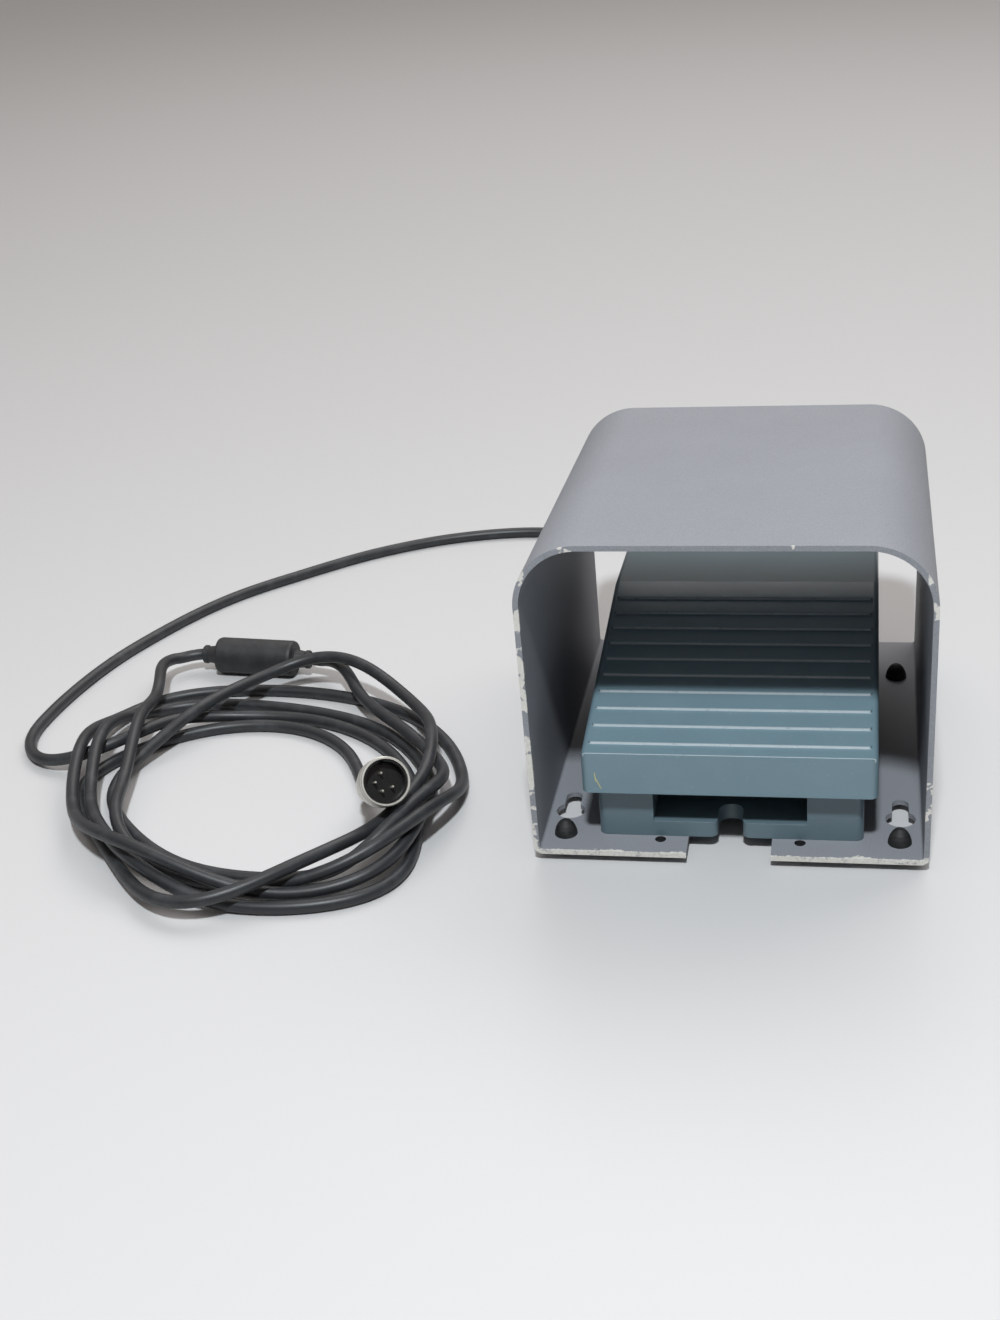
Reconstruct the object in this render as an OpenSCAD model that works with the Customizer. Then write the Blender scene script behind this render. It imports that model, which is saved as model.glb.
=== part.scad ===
// Guarded foot switch: a bent sheet-steel hood over a cast base and a hinged cast pedal,
// with its lead, an interference choke and a round screw-lock plug.
// Millimetres, +Z up, -Y is the front where the toe goes in.
// The origin lies on the floor under the middle of the hood.

/* [Guard hood] */
// Width across the foot of the hood
hood_w = 140; // [132:1:156]
// Depth from the front opening to the rear opening
hood_d = 172; // [168:1:190]
// Height of the top above the floor at the front opening
hood_front_h = 124.8; // [110:0.2:140]
// Height of the top above the floor at the rear opening
hood_rear_h = 112.8; // [100:0.2:130]
// Thickness of the steel sheet
sheet_t = 2; // [1.5:0.1:2.5]
// Outward lean of each wall over 100 mm of height
wall_lean = 1; // [0:0.1:4]
// Outside radius of the two top bends
top_bend_r = 23; // [15:1:32]
// Outside radius of the two bottom bends
foot_bend_r = 3; // [2.8:0.1:6]
// Gap between the two bottom flanges
flange_gap = 30; // [20:1:40]

/* [Hood holes] */
// Distance of each keyhole from the middle
keyhole_x = 60.5; // [58:0.5:61]
// Distance of a keyhole's round end from the front edge
keyhole_y = 27.3; // [25:0.1:40]
// Radius of a keyhole's round end
keyhole_r = 5.4; // [4.5:0.1:6]
// Width of a keyhole's slot
keyhole_slot_w = 6; // [4:0.5:8]
// Length from the round end's centre to the slot end's centre
keyhole_slot_l = 10.3; // [8:0.1:14]
// Spacing of the two small front holes
pilot_spacing = 50; // [40:1:80]
// Radius of the two small front holes
pilot_r = 2; // [1.5:0.1:2]

/* [Rubber feet] */
// Distance of each foot from the middle
foot_x = 60; // [55:0.5:61]
// Distance of the front feet from the front edge
foot_front_y = 11.5; // [9:0.5:13]
// Distance of the rear feet from the rear edge
foot_rear_y = 32; // [12:1:60]
// Height of a foot's pad under the sheet
foot_h = 3; // [2.8:0.1:5]
// Radius of a foot's pad
foot_pad_r = 6.5; // [5:0.1:7.5]
// Radius of a foot's neck
foot_neck_r = 2.9; // [2:0.1:3.5]
// Radius of a foot's barb
foot_barb_r = 4.25; // [3.8:0.05:5]
// Height of a foot's barb above the sheet
foot_barb_h = 6; // [4:0.5:8]

/* [Base casting] */
// Width of the base
base_w = 95; // [90:1:98]
// Set-back of the base from the hood's front edge
base_front_gap = 11.5; // [11.3:0.1:14]
// Set-back of the base from the hood's rear edge
base_rear_gap = 9; // [7:0.5:12]
// Wall of the base
base_wall = 3.2; // [2.5:0.1:4]
// Floor of the base
base_floor = 3; // [2.5:0.1:4]
// Radius of the base's upright corners
base_corner_r = 3; // [1:0.5:5]
// Height of the front rim above the hood's flanges
base_front_rim = 21.5; // [18:0.5:22]
// Width of the open pocket in the front
pocket_w = 55; // [40:1:60]
// Depth of the open pocket in the front
pocket_d = 17.5; // [15:0.5:20]
// Thickness of the fixing lug in the pocket
lug_t = 6.2; // [4:0.2:8]
// Width of the open slot in the fixing lug
lug_slot_w = 8.9; // [5:0.1:10]
// Length of the open slot in the fixing lug
lug_slot_l = 13.3; // [8:0.1:15]

/* [Pedal] */
// Reach of the pedal beyond each side of the base
pedal_side_reach = 4.75; // [3.5:0.05:7]
// Reach of the pedal beyond the front of the base
pedal_front_reach = 5.5; // [5:0.1:7]
// Reach of the pedal beyond the rear of the base
pedal_rear_reach = 3.5; // [3.4:0.1:5]
// Height of the tread's front edge above the flanges
tread_front_z = 36.6; // [35:0.2:40]
// Slope of the ribbed tread
tread_slope = 8.4; // [7.5:0.1:9]
// Length of the ribbed tread
tread_l = 112; // [108:1:115]
// Fall of the plain rear part
rear_fall = 3; // [2:0.1:3.5]
// Thickness of the tread
tread_t = 3.5; // [3:0.1:4]
// Thickness of the skirts
skirt_t = 2.6; // [2.2:0.1:3]
// Height of the skirt's lower edge above the flanges
skirt_z = 20.8; // [19:0.2:24]
// Number of tread ribs
rib_count = 10; // [6:1:11]
// Pitch of the tread ribs
rib_pitch = 10.3; // [8:0.1:10.5]
// Width of a tread rib
rib_w = 2.2; // [1.5:0.1:4]
// Height of a tread rib
rib_h = 1; // [0.6:0.1:1.6]
// Distance from the pedal's side to the end of a rib
rib_inset = 2.4; // [2:0.1:6]
// Distance of the first rib behind the pedal's front
rib_front = 7.4; // [6:0.1:10]
// Angle through which the pedal is pressed
press_angle = 4; // [3:0.5:4]

/* [Pivot] */
// Distance of the pivot in front of the base's rear face
pivot_back = 13; // [12:0.5:15]
// Height of the pivot above the flanges
pivot_h = 41; // [40.5:0.1:42]
// Diameter of the pivot pin
pin_d = 6; // [5:0.1:6]
// Radial running clearance of the pivot and the plunger
run_gap = 0.05; // [0.03:0.01:0.09]

/* [Switch] */
// Distance of the plunger in front of the pivot
plunger_arm = 46; // [42:1:50]
// Diameter of the plunger
plunger_d = 6; // [5:0.5:7]
// Height of the chamber lid's top above the flanges
lid_top_h = 35; // [34:0.1:35.2]
// Thickness of the chamber lid
lid_t = 2.5; // [2:0.1:3]
// Thickness of the chamber gasket
gasket_t = 1; // [0.6:0.1:1.5]
// Width of the contact block
block_w = 36; // [30:1:44]
// Length of the contact block
block_l = 46; // [42:1:48]
// Height of the contact block
block_h = 22; // [20:0.5:23]

/* [Springs and screws] */
// Outside diameter of the pedal spring
spring_d = 17; // [15:0.5:18]
// Wire of the pedal spring
spring_wire = 1.8; // [1.2:0.1:2]
// Number of turns of the pedal spring
spring_turns = 6; // [5:1:8]
// Thread diameter of the fixing screws
screw_d = 4; // [3:0.5:4]
// Head diameter of the fixing screws
screw_head_d = 7.6; // [6:0.2:8]
// Head height of the fixing screws
screw_head_h = 2.2; // [1.6:0.1:2.4]

/* [Lead] */
// Diameter of the lead
cord_d = 5; // [4.5:0.1:5.5]
// Height of the gland above the flanges
gland_h = 21; // [20:0.5:22]
// Thread diameter of the gland
gland_d = 12; // [10:0.5:12]
// Width across the flats of the gland
gland_af = 17; // [15:0.5:18]
// Diameter of the moulded choke
choke_d = 16; // [14:0.5:16]
// Length of the moulded choke between its collars
choke_l = 36.5; // [30:0.5:36.5]

/* [Plug] */
// Outside diameter of the coupling ring
ring_d = 18.5; // [18:0.1:20]
// Length of the coupling ring
ring_l = 13; // [11:0.5:14]
// Length of the plug from its cable nut to the ring's front
plug_l = 34; // [32:0.5:36]
// Number of contact pins
plug_pin_count = 4; // [3:1:5]
// Radius of the pin circle
plug_pin_circle = 3.5; // [2.5:0.1:4]

/* [Hidden] */
$fn = 48;

hood_grey = [0.58, 0.60, 0.64];
cast_blue = [0.38, 0.52, 0.58];
rubber_black = [0.07, 0.07, 0.07];
cord_black = [0.12, 0.12, 0.13];
zinc = [0.72, 0.72, 0.70];
nickel = [0.78, 0.76, 0.72];
brass = [0.78, 0.62, 0.30];

front_y = -hood_d / 2;
rear_y = hood_d / 2;
deck_z = foot_h + sheet_t;               // top of the hood's bottom flanges
eps = 0.01;                              // overshoot of a cutter
fit_gap = 0.1;                           // loose fit of a neck or plate in its hole

base_front = front_y + base_front_gap;
base_rear = rear_y - base_rear_gap;
base_half = base_w / 2;
floor_z = deck_z + base_floor;           // inside floor of the base

pivot_y = base_rear - pivot_back;
pivot_z = deck_z + pivot_h;

pedal_w = base_w + 2 * pedal_side_reach;
pedal_front = base_front - pedal_front_reach;
pedal_rear = base_rear + pedal_rear_reach;
tread_z0 = deck_z + tread_front_z;
crease_y = pedal_front + tread_l;
crease_z = tread_z0 + tread_l * tan(tread_slope);
under_drop = tread_t / cos(tread_slope);

rim_back_z = deck_z + pivot_h + 4;       // height of the side walls round the pivot
rim_back_y = pivot_y - 24;
rear_stop_gap = 0.3;                     // play between the pedal and the stop on the rear wall

lid_top = deck_z + lid_top_h;
lid_bottom = lid_top - lid_t;
ledge_z = lid_bottom - gasket_t;
ledge_w = 3.3;
chamber_wall = 3;
plunger_y = pivot_y - plunger_arm;
block_front = plunger_y - block_l / 2;
chamber_front = block_front - 5;         // inside face of the wall in front of the chamber
chamber_rear = base_rear - base_wall;
boss_r = 4.5;
lid_screw_x = base_half - base_wall - ledge_w - boss_r + 0.2;
lid_screw_ys = [chamber_front + ledge_w + boss_r - 0.2, chamber_rear - ledge_w - boss_r + 0.2];

pocket_back = base_front + pocket_d;
bay_front = pocket_back + base_wall;     // inside faces of the bay that holds the pedal's spring
bay_rear = chamber_front - chamber_wall;
spring_y = max(bay_front + spring_d / 2 + 1.5, (bay_front + bay_rear) / 2 - 5.6);
spring_seat_z = under(spring_y + spring_d / 2 + 1) - 1.5 - (spring_d + 2) * tan(tread_slope);
post_r = spring_d / 2 - spring_wire - 0.8;
hood_screw_x = 38;
hood_screw_ys = [pocket_back + 8, chamber_rear - 22];
buffer_x = 38;
buffer_y = base_front + 8.5;
buffer_r = 4.2;

press_travel = plunger_arm * tan(press_angle);
boss_z = under(plunger_y) - 3;           // flat pad under the tread that pushes the plunger
head_t = 3;
head_top = boss_z - 0.2;
head_bottom = head_top - head_t;
bush_flange_t = 1.2;
wiper_t = 0.8;
block_z = floor_z + block_h;
bridge_top = block_z - 2;
bridge_h = 4;
contact_z = bridge_top - bridge_h - press_travel - 0.3;

gland_z = deck_z + gland_h;
gland_body_l = 6;
gland_nut_l = 15;
gland_mouth = base_rear + gland_body_l + gland_nut_l;
gland_wall = base_wall + ledge_w;        // thickness of the rear wall below the ledge

// Height of the ribbed tread's surface, and of the plain part behind its crease
function tread(y) = tread_z0 + (y - pedal_front) * tan(tread_slope);
function rear_top(y) = crease_z - (y - crease_y) * tan(rear_fall);
// Height of the tread's underside
function under(y) = min(tread(y), rear_top(y)) - under_drop;

// ---------------------------------------------------------------- shared shapes

// A plate with round corners, standing on z = 0
module round_plate(w, d, h, r) {
    linear_extrude(h) round_square(w, d, r);
}

module round_square(w, d, r) {
    square([w - 2 * r, d], center = true);
    square([w, d - 2 * r], center = true);
    for (sx = [-1, 1], sy = [-1, 1])
        translate([sx * (w / 2 - r), sy * (d / 2 - r)]) circle(r);
}

// A box between two corners
module box(a, b) {
    translate(a) cube(b - a);
}

// Rod along +Y from a point
module rod_y(x, y, z, r, l) {
    translate([x, y, z]) rotate([-90, 0, 0]) cylinder(r = r, h = l);
}

// Hexagonal prism of width af across its flats
module hex(af, h) {
    cylinder(r = af / 2 / cos(30), h = h, $fn = 6);
}

// Pan-head screw with its seat at z = 0 and its thread below
module pan_screw(l) {
    difference() {
        rotate_extrude() polygon([
            [0, -l], [screw_d / 2 - 0.4, -l], [screw_d / 2, -l + 0.6], [screw_d / 2, 0],
            [screw_head_d / 2, 0], [screw_head_d / 2, screw_head_h * 0.5],
            [screw_head_d / 2 - 0.9, screw_head_h], [0, screw_head_h],
        ]);
        for (a = [0, 90]) rotate(a)
            translate([-1.9, -0.35, screw_head_h - 1.1]) cube([3.8, 0.7, 2]);
    }
}

// ---------------------------------------------------------------- guard hood

lean = atan(wall_lean / 100);
top_slope = atan((hood_front_h - hood_rear_h) / hood_d);
// Outside of the leaning wall at height z, and the outside corner of wall and top at depth y,
// both drawn in by d
function wall_x(z, d) = hood_w / 2 + (z - foot_h) * tan(lean) - d / cos(lean);
function top_z(y, d) = hood_front_h - (y - front_y) * tan(top_slope) - d / cos(top_slope);
function top_corner(y, d) = [wall_x(top_z(y, d), d), y, top_z(y, d)];

// Leaning walls with the foot bends, open at the top
module wall_prism(d, over) {
    r = foot_bend_r - d;
    h = foot_h + foot_bend_r;
    c = [wall_x(h, foot_bend_r), h];
    touch = c + r * [cos(lean), -sin(lean)];
    above = hood_front_h + 60;
    translate([0, rear_y + over, 0]) rotate([90, 0, 0]) linear_extrude(hood_d + 2 * over) {
        polygon([
            [-c[0], foot_h + d], [c[0], foot_h + d], touch, [wall_x(above, d), above],
            [-wall_x(above, d), above], [-touch[0], touch[1]],
        ]);
        for (s = [-1, 1]) translate([s * c[0], c[1]]) circle(r);
    }
}

// What the top bend of the right wall cuts off, run along the sloping corner of wall and top
module bend_corner(d) {
    r = top_bend_r - d;
    p = top_corner(front_y, d);
    v = top_corner(rear_y, d) - p;
    t = r / tan(45 - lean / 2);
    down = [-sin(lean), -cos(lean)];
    out = [cos(lean), -sin(lean)];
    translate(p) rotate([atan(v[2] / v[1]), 0, -atan(v[0] / v[1])])
        translate([0, hood_d + 20, 0]) rotate([90, 0, 0]) linear_extrude(hood_d + 40) difference() {
            polygon([[-t, -r], [-t, 5], [8, 5], t * down + 8 * out]);
            translate([-t + 0.01, -r + 0.01]) circle(r);
        }
}

// Space inside the surface that lies d below the sheet's outside
module hood_form(d, over) {
    difference() {
        wall_prism(d, over);
        translate([0, front_y, top_z(front_y, d)]) rotate([-top_slope, 0, 0])
            translate([-hood_w, -30, 0]) cube([2 * hood_w, hood_d + 60, hood_front_h]);
        bend_corner(d);
        mirror([1, 0, 0]) bend_corner(d);
    }
}

// Hanging keyhole, its narrow slot running towards the rear
module keyhole() {
    linear_extrude(sheet_t + 2) {
        circle(keyhole_r);
        translate([-keyhole_slot_w / 2, 0]) square([keyhole_slot_w, keyhole_slot_l]);
        translate([0, keyhole_slot_l]) circle(keyhole_slot_w / 2);
    }
}

module guard_hood() {
    color(hood_grey) difference() {
        hood_form(0, 0);
        hood_form(sheet_t, 1);
        box([-flange_gap / 2, front_y - 1, foot_h - 1], [flange_gap / 2, rear_y + 1, deck_z + 1]);
        for (s = [-1, 1]) {
            translate([s * keyhole_x, front_y + keyhole_y, foot_h - 1]) keyhole();
            translate([s * pilot_spacing / 2, front_y + base_front_gap - pilot_r - 0.3, foot_h - 1])
                cylinder(r = pilot_r, h = sheet_t + 2);
            for (y = [front_y + foot_front_y, rear_y - foot_rear_y])
                translate([s * foot_x, y, foot_h - 1])
                    cylinder(r = foot_neck_r + fit_gap, h = sheet_t + 2);
            for (y = hood_screw_ys)
                translate([s * hood_screw_x, y, foot_h - 1])
                    cylinder(r = screw_d / 2 + 0.25, h = sheet_t + 2);
        }
    }
}

// Push-in rubber foot: pad below the sheet, neck through it, domed barb above it
module rubber_foot() {
    rotate_extrude() polygon(concat(
        [
            [0, 0], [foot_pad_r - 1, 0], [foot_pad_r, 1], [foot_pad_r, foot_h],
            [foot_neck_r, foot_h], [foot_neck_r, deck_z], [foot_barb_r, deck_z]
        ],
        [for (i = [1 : 6]) let (a = i * 15)
            [foot_barb_r * cos(a), deck_z + foot_barb_h * pow(sin(a), 1.2)]]
    ));
}

module hood_feet() {
    color(rubber_black)
        for (s = [-1, 1], y = [front_y + foot_front_y, rear_y - foot_rear_y])
            translate([s * foot_x, y, 0]) rubber_foot();
}

// Screws that hold the hood's flanges to the base, put in from below
module hood_screws() {
    color(zinc)
        for (s = [-1, 1], y = hood_screw_ys)
            translate([s * hood_screw_x, y, foot_h]) rotate([180, 0, 0]) pan_screw(sheet_t + 7);
}

// ---------------------------------------------------------------- base casting

// Side view of the base: low rim in front, rising to the pivot, stop lip on the rear wall
module base_side() {
    polygon([
        [base_front, deck_z], [base_front, deck_z + base_front_rim],
        [base_front + 4, deck_z + base_front_rim], [rim_back_y, rim_back_z],
        [base_rear - base_wall, rim_back_z],
        [base_rear - base_wall, under(base_rear) - rear_stop_gap],
        [base_rear, under(base_rear) - rear_stop_gap], [base_rear, deck_z],
    ]);
}

module base_block() {
    intersection() {
        translate([0, (base_front + base_rear) / 2, deck_z])
            round_plate(base_w, base_rear - base_front, rim_back_z, base_corner_r);
        translate([-base_half - 1, 0, 0]) rotate([90, 0, 90])
            linear_extrude(base_w + 2) base_side();
    }
}

// Fixing lug with its open slot, whose mouth is rounded
module lug_slot() {
    mouth_r = 3;
    slot_end = base_front + lug_slot_l - lug_slot_w / 2;
    translate([0, 0, deck_z - 1]) linear_extrude(lug_t + 2) {
        translate([-lug_slot_w / 2, base_front - 1]) square([lug_slot_w, slot_end - base_front + 1]);
        translate([0, slot_end]) circle(lug_slot_w / 2);
        for (s = [-1, 1]) difference() {
            translate([s * lug_slot_w / 2 - mouth_r, base_front - 1]) square([2 * mouth_r, mouth_r + 1]);
            translate([s * (lug_slot_w / 2 + mouth_r), base_front + mouth_r]) circle(mouth_r);
        }
    }
}

module base_hollows() {
    inner = base_half - base_wall;
    top = rim_back_z + 20;
    // pocket open to the front and to the top
    box([-pocket_w / 2, base_front - 1, deck_z + lug_t], [pocket_w / 2, pocket_back, top]);
    // hollows beside the pocket, joined with the bay of the spring
    for (s = [-1, 1]) {
        x0 = s < 0 ? -inner : pocket_w / 2 + base_wall;
        x1 = s < 0 ? -pocket_w / 2 - base_wall : inner;
        box([x0, base_front + base_wall, floor_z], [x1, pocket_back + base_wall + eps, top]);
    }
    box([-inner, pocket_back + base_wall, floor_z], [inner, chamber_front - chamber_wall, top]);
    // switch chamber, with a ledge for the gasket and the lid
    box([-inner + ledge_w, chamber_front + ledge_w, floor_z],
        [inner - ledge_w, chamber_rear - ledge_w, top]);
    box([-inner, chamber_front, ledge_z], [inner, chamber_rear, top]);
}

module base_housing() {
    color(cast_blue) difference() {
        union() {
            difference() {
                base_block();
                base_hollows();
            }
            for (s = [-1, 1]) {
                for (y = lid_screw_ys)
                    translate([s * lid_screw_x, y, floor_z - eps])
                        cylinder(r = boss_r, h = ledge_z - floor_z);
                for (y = hood_screw_ys)
                    translate([s * hood_screw_x, y, floor_z - eps]) cylinder(r = boss_r, h = 6);
                translate([s * buffer_x, buffer_y, floor_z - eps])
                    cylinder(r = buffer_r + 0.6, h = 13);
            }
            translate([0, spring_y, floor_z - eps]) cylinder(r = post_r, h = 5);
        }
        lug_slot();
        for (s = [-1, 1]) {
            for (y = lid_screw_ys)
                translate([s * lid_screw_x, y, ledge_z - 10]) cylinder(r = screw_d / 2, h = 11);
            for (y = hood_screw_ys)
                translate([s * hood_screw_x, y, deck_z - 1]) cylinder(r = screw_d / 2, h = 8.5);
            translate([s * buffer_x, buffer_y, floor_z + 7]) cylinder(r = buffer_r - 1.7, h = 8);
        }
        translate([-base_half - 1, pivot_y, pivot_z]) rotate([0, 90, 0])
            cylinder(r = pin_d / 2, h = base_w + 2);
        rod_y(0, chamber_rear - ledge_w - 1, gland_z, gland_d / 2, gland_wall + 2);
        for (x = [-13, 13], y = [block_front + 5, block_front + block_l - 5])
            translate([x, y, floor_z - 2]) cylinder(r = 1.25, h = 3);
    }
}

// Rubber stops that end the pedal's travel
module stop_buffers() {
    seat = floor_z + 13 - eps;
    tip = buffer_tip() - seat;
    color(rubber_black)
        for (s = [-1, 1]) translate([s * buffer_x, buffer_y, seat]) rotate_extrude() polygon([
            [0, -5], [buffer_r - 1.8, -5], [buffer_r - 1.8, 0], [buffer_r, 0], [buffer_r, tip - 2],
            [buffer_r - 1.2, tip - 0.6], [buffer_r - 2.6, tip], [0, tip],
        ]);
}
// Height of a stop's tip: just under the tread when the pedal is fully pressed
function buffer_tip() =
    let (
        dy = buffer_y - buffer_r - pivot_y,
        dz = under(buffer_y - buffer_r) - pivot_z
    )
    pivot_z + dy * sin(press_angle) + dz * cos(press_angle) - 0.2;

// ---------------------------------------------------------------- switch chamber

module chamber_outline(trim) {
    w = base_w - 2 * base_wall - 2 * trim;
    d = chamber_rear - chamber_front - 2 * trim;
    translate([0, (chamber_front + chamber_rear) / 2]) square([w, d], center = true);
}

module lid_screw_holes(r) {
    for (s = [-1, 1], y = lid_screw_ys) translate([s * lid_screw_x, y]) circle(r);
}

module chamber_gasket() {
    color(rubber_black) translate([0, 0, ledge_z]) linear_extrude(gasket_t) difference() {
        chamber_outline(fit_gap);
        difference() {
            chamber_outline(ledge_w);
            lid_screw_pads(boss_r);
        }
        lid_screw_holes(screw_d / 2 + fit_gap);
    }
}

module lid_screw_pads(r) {
    for (s = [-1, 1], y = lid_screw_ys) translate([s * lid_screw_x, y]) circle(r);
}

module chamber_lid() {
    color(zinc) translate([0, 0, lid_bottom]) difference() {
        linear_extrude(lid_t) difference() {
            chamber_outline(fit_gap);
            lid_screw_holes(screw_d / 2 + 0.25);
        }
        translate([0, plunger_y, -1]) cylinder(r = bush_r, h = lid_t + 2);
    }
}

module lid_screws() {
    color(zinc)
        for (s = [-1, 1], y = lid_screw_ys) translate([s * lid_screw_x, y, lid_top])
            pan_screw(lid_t + gasket_t + 8);
}

// ---------------------------------------------------------------- pedal

// Tread and skirts as one tunnel running along the slope, its long edges rounded where edge_r > 0
module tunnel(w, edge_r, l) {
    deep = 2 * tread_z0;
    rotate([90, 0, 0]) translate([0, 0, -l]) linear_extrude(2 * l) {
        translate([-w / 2, -deep]) square([w, deep - edge_r]);
        if (edge_r > 0) {
            translate([-w / 2 + edge_r, -edge_r - 1]) square([w - 2 * edge_r, edge_r + 1]);
            for (s = [-1, 1]) translate([s * (w / 2 - edge_r), -edge_r]) circle(edge_r);
        }
    }
}

// The cap's solid form, drawn in by a wall thickness and lowered by a tread thickness
module cap_form(wall, top, edge_r) {
    w = pedal_w - 2 * wall;
    d = pedal_rear - pedal_front - 2 * wall;
    intersection() {
        translate([0, (pedal_front + pedal_rear) / 2, 0])
            round_plate(w, d, 2 * crease_z, max(0.6, pedal_corner_r - wall));
        translate([0, pedal_front, tread_z0 - top / cos(tread_slope)])
            rotate([tread_slope, 0, 0]) tunnel(w, edge_r, 1.5 * hood_d);
        translate([0, crease_y, crease_z - top / cos(rear_fall)])
            rotate([-rear_fall, 0, 0]) tunnel(w, edge_r, 1.5 * hood_d);
    }
}
pedal_corner_r = 3;
pedal_edge_r = 2.2;

// One rib across the tread, with round ends and slanting flanks near its top
module tread_rib() {
    half = pedal_w / 2 - rib_inset - rib_w / 2;
    flank = 0.3;
    intersection() {
        translate([0, 0, -1]) linear_extrude(rib_h + 2) {
            square([2 * half, rib_w], center = true);
            for (s = [-1, 1]) translate([s * half, 0]) circle(rib_w / 2);
        }
        rotate([90, 0, 90]) translate([0, 0, -pedal_w / 2]) linear_extrude(pedal_w) polygon([
            [-rib_w / 2 - flank, -1.5], [-rib_w / 2 - flank, 0.2 * rib_h - flank],
            [-rib_w / 2 + flank, rib_h], [rib_w / 2 - flank, rib_h],
            [rib_w / 2 + flank, 0.2 * rib_h - flank], [rib_w / 2 + flank, -1.5],
        ]);
    }
}

ear_r = 5.5;
ear_t = 6;
ear_x = base_half - 23.5;
module pivot_ears() {
    for (s = [-1, 1]) translate([s * (ear_x + ear_t / 2) - ear_t / 2, pivot_y, pivot_z])
        rotate([90, 0, 90]) linear_extrude(ear_t) {
            circle(ear_r);
            translate([-ear_r, 0]) square([2 * ear_r, under(pivot_y + ear_r) + 1 - pivot_z]);
        }
}

module pedal() {
    inner_skirt = deck_z + skirt_z;
    color(cast_blue) difference() {
        union() {
            difference() {
                cap_form(0, 0, pedal_edge_r);
                cap_form(skirt_t, tread_t, 0);
                // lower edge of the skirts: level at the sides and front, higher at the rear
                box([-pedal_w, pedal_front - 5, -1], [pedal_w, pedal_rear + 5, inner_skirt]);
                box([-pedal_w, base_rear + 0.4, -1], [pedal_w, pedal_rear + 5, pivot_z - 2]);
            }
            for (i = [0 : rib_count - 1])
                let (y = pedal_front + rib_front + i * rib_pitch)
                    translate([0, y, tread(y)]) rotate([tread_slope, 0, 0]) tread_rib();
            pivot_ears();
            // pad over the plunger
            translate([0, plunger_y, boss_z]) cylinder(r = 8, h = under(plunger_y) + 1 - boss_z);
            // seat of the spring and the stub inside it
            translate([0, spring_y, spring_seat_z])
                cylinder(r = spring_d / 2 + 1, h = under(spring_y) + 1 - spring_seat_z);
            translate([0, spring_y, spring_seat_z - 4]) cylinder(r = post_r, h = 4 + eps);
        }
        translate([-pedal_w / 2, pivot_y, pivot_z]) rotate([0, 90, 0])
            translate([0, 0, pedal_w / 2 - ear_x - ear_t - 1])
                cylinder(r = pin_d / 2 + run_gap, h = 2 * (ear_x + ear_t + 1));
    }
}

module pivot_pin() {
    color(zinc) translate([-base_half, pivot_y, pivot_z]) rotate([0, 90, 0])
        cylinder(r = pin_d / 2, h = base_w);
}

// Retaining rings on the pin, outside the pedal's ears
module pivot_clips() {
    color(zinc)
        for (s = [-1, 1]) translate([s * (ear_x + ear_t + 0.9), pivot_y, pivot_z])
            rotate([0, 90, 0]) translate([0, 0, -0.4]) linear_extrude(0.8) difference() {
                circle(pin_d / 2 + 2.2);
                circle(pin_d / 2);
                translate([0, pin_d / 2 + 1]) square([3, pin_d], center = true);
            }
}

// Compression spring that lifts the pedal, as one coiled wire
module return_spring() {
    r = (spring_d - spring_wire) / 2;
    z0 = floor_z + spring_wire / 2 + 0.05;
    z1 = spring_seat_z - spring_wire / 2 - 0.05;
    n = spring_turns * 8;
    path = [for (i = [0 : n]) [
        r * cos(45 * i), spring_y + r * sin(45 * i), z0 + (z1 - z0) * spring_rise(i / n)
    ]];
    echo(least_gap_in_spring = least_gap(path, spring_wire, 30));
    color(zinc) tube(path, spring_wire / 2, 6);
}
// Rise of the wire, flatter at both ends of the spring
function spring_rise(t) = t - 0.4 * sin(360 * t) / (2 * PI);

// ---------------------------------------------------------------- contacts

bush_r = plunger_d / 2 + 2;
module plunger() {
    color(zinc) translate([0, plunger_y, 0]) rotate_extrude() polygon([
        [0, bridge_top - 0.5], [plunger_d / 2, bridge_top - 0.5], [plunger_d / 2, head_bottom],
        [6, head_bottom], [6, head_top - 1.6], [4.6, head_top - 0.5], [2.4, head_top], [0, head_top],
    ]);
}

module plunger_bush() {
    color(brass) translate([0, plunger_y, 0]) rotate_extrude() polygon([
        [plunger_d / 2 + run_gap, lid_bottom - 3], [bush_r, lid_bottom - 3], [bush_r, lid_top],
        [bush_r + 2.5, lid_top], [bush_r + 2.5, lid_top + bush_flange_t],
        [plunger_d / 2 + run_gap, lid_top + bush_flange_t],
    ]);
}

module plunger_wiper() {
    z = lid_top + bush_flange_t;
    color(rubber_black) translate([0, plunger_y, 0]) rotate_extrude() polygon([
        [plunger_d / 2 + 0.1, z], [bush_r + 1.5, z], [bush_r + 1.2, z + wiper_t * 0.6],
        [plunger_d / 2 + 0.6, z + wiper_t], [plunger_d / 2 + 0.1, z + wiper_t],
    ]);
}

// Crossbar on the plunger's foot that carries the moving contacts
module contact_bridge() {
    color(brass) translate([0, plunger_y, bridge_top - bridge_h]) difference() {
        union() {
            translate([-4.5, -4.5, 0]) cube([9, 9, bridge_h]);
            translate([-3, -9.5, 0]) cube([6, 19, 1.2]);
        }
        translate([0, 0, bridge_h - 0.5]) cylinder(r = plunger_d / 2 + 0.02, h = 1);
    }
}

module contact_block() {
    color([0.16, 0.16, 0.17]) difference() {
        translate([0, plunger_y, floor_z]) round_plate(block_w, block_l, block_h, 1.5);
        translate([-6, plunger_y - 11, contact_z - 4]) cube([12, 22, block_h]);
        for (s = [-1, 1]) {
            translate([-3.2, plunger_y + s * (block_l / 2 - 6) - 6.5, contact_z - 1.2])
                cube([6.4, 13, block_h]);
            for (x = [-13, 13]) translate([x, plunger_y + s * (block_l / 2 - 5), floor_z - 1])
                cylinder(r = 1.7, h = block_h + 2);
        }
    }
}

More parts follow.
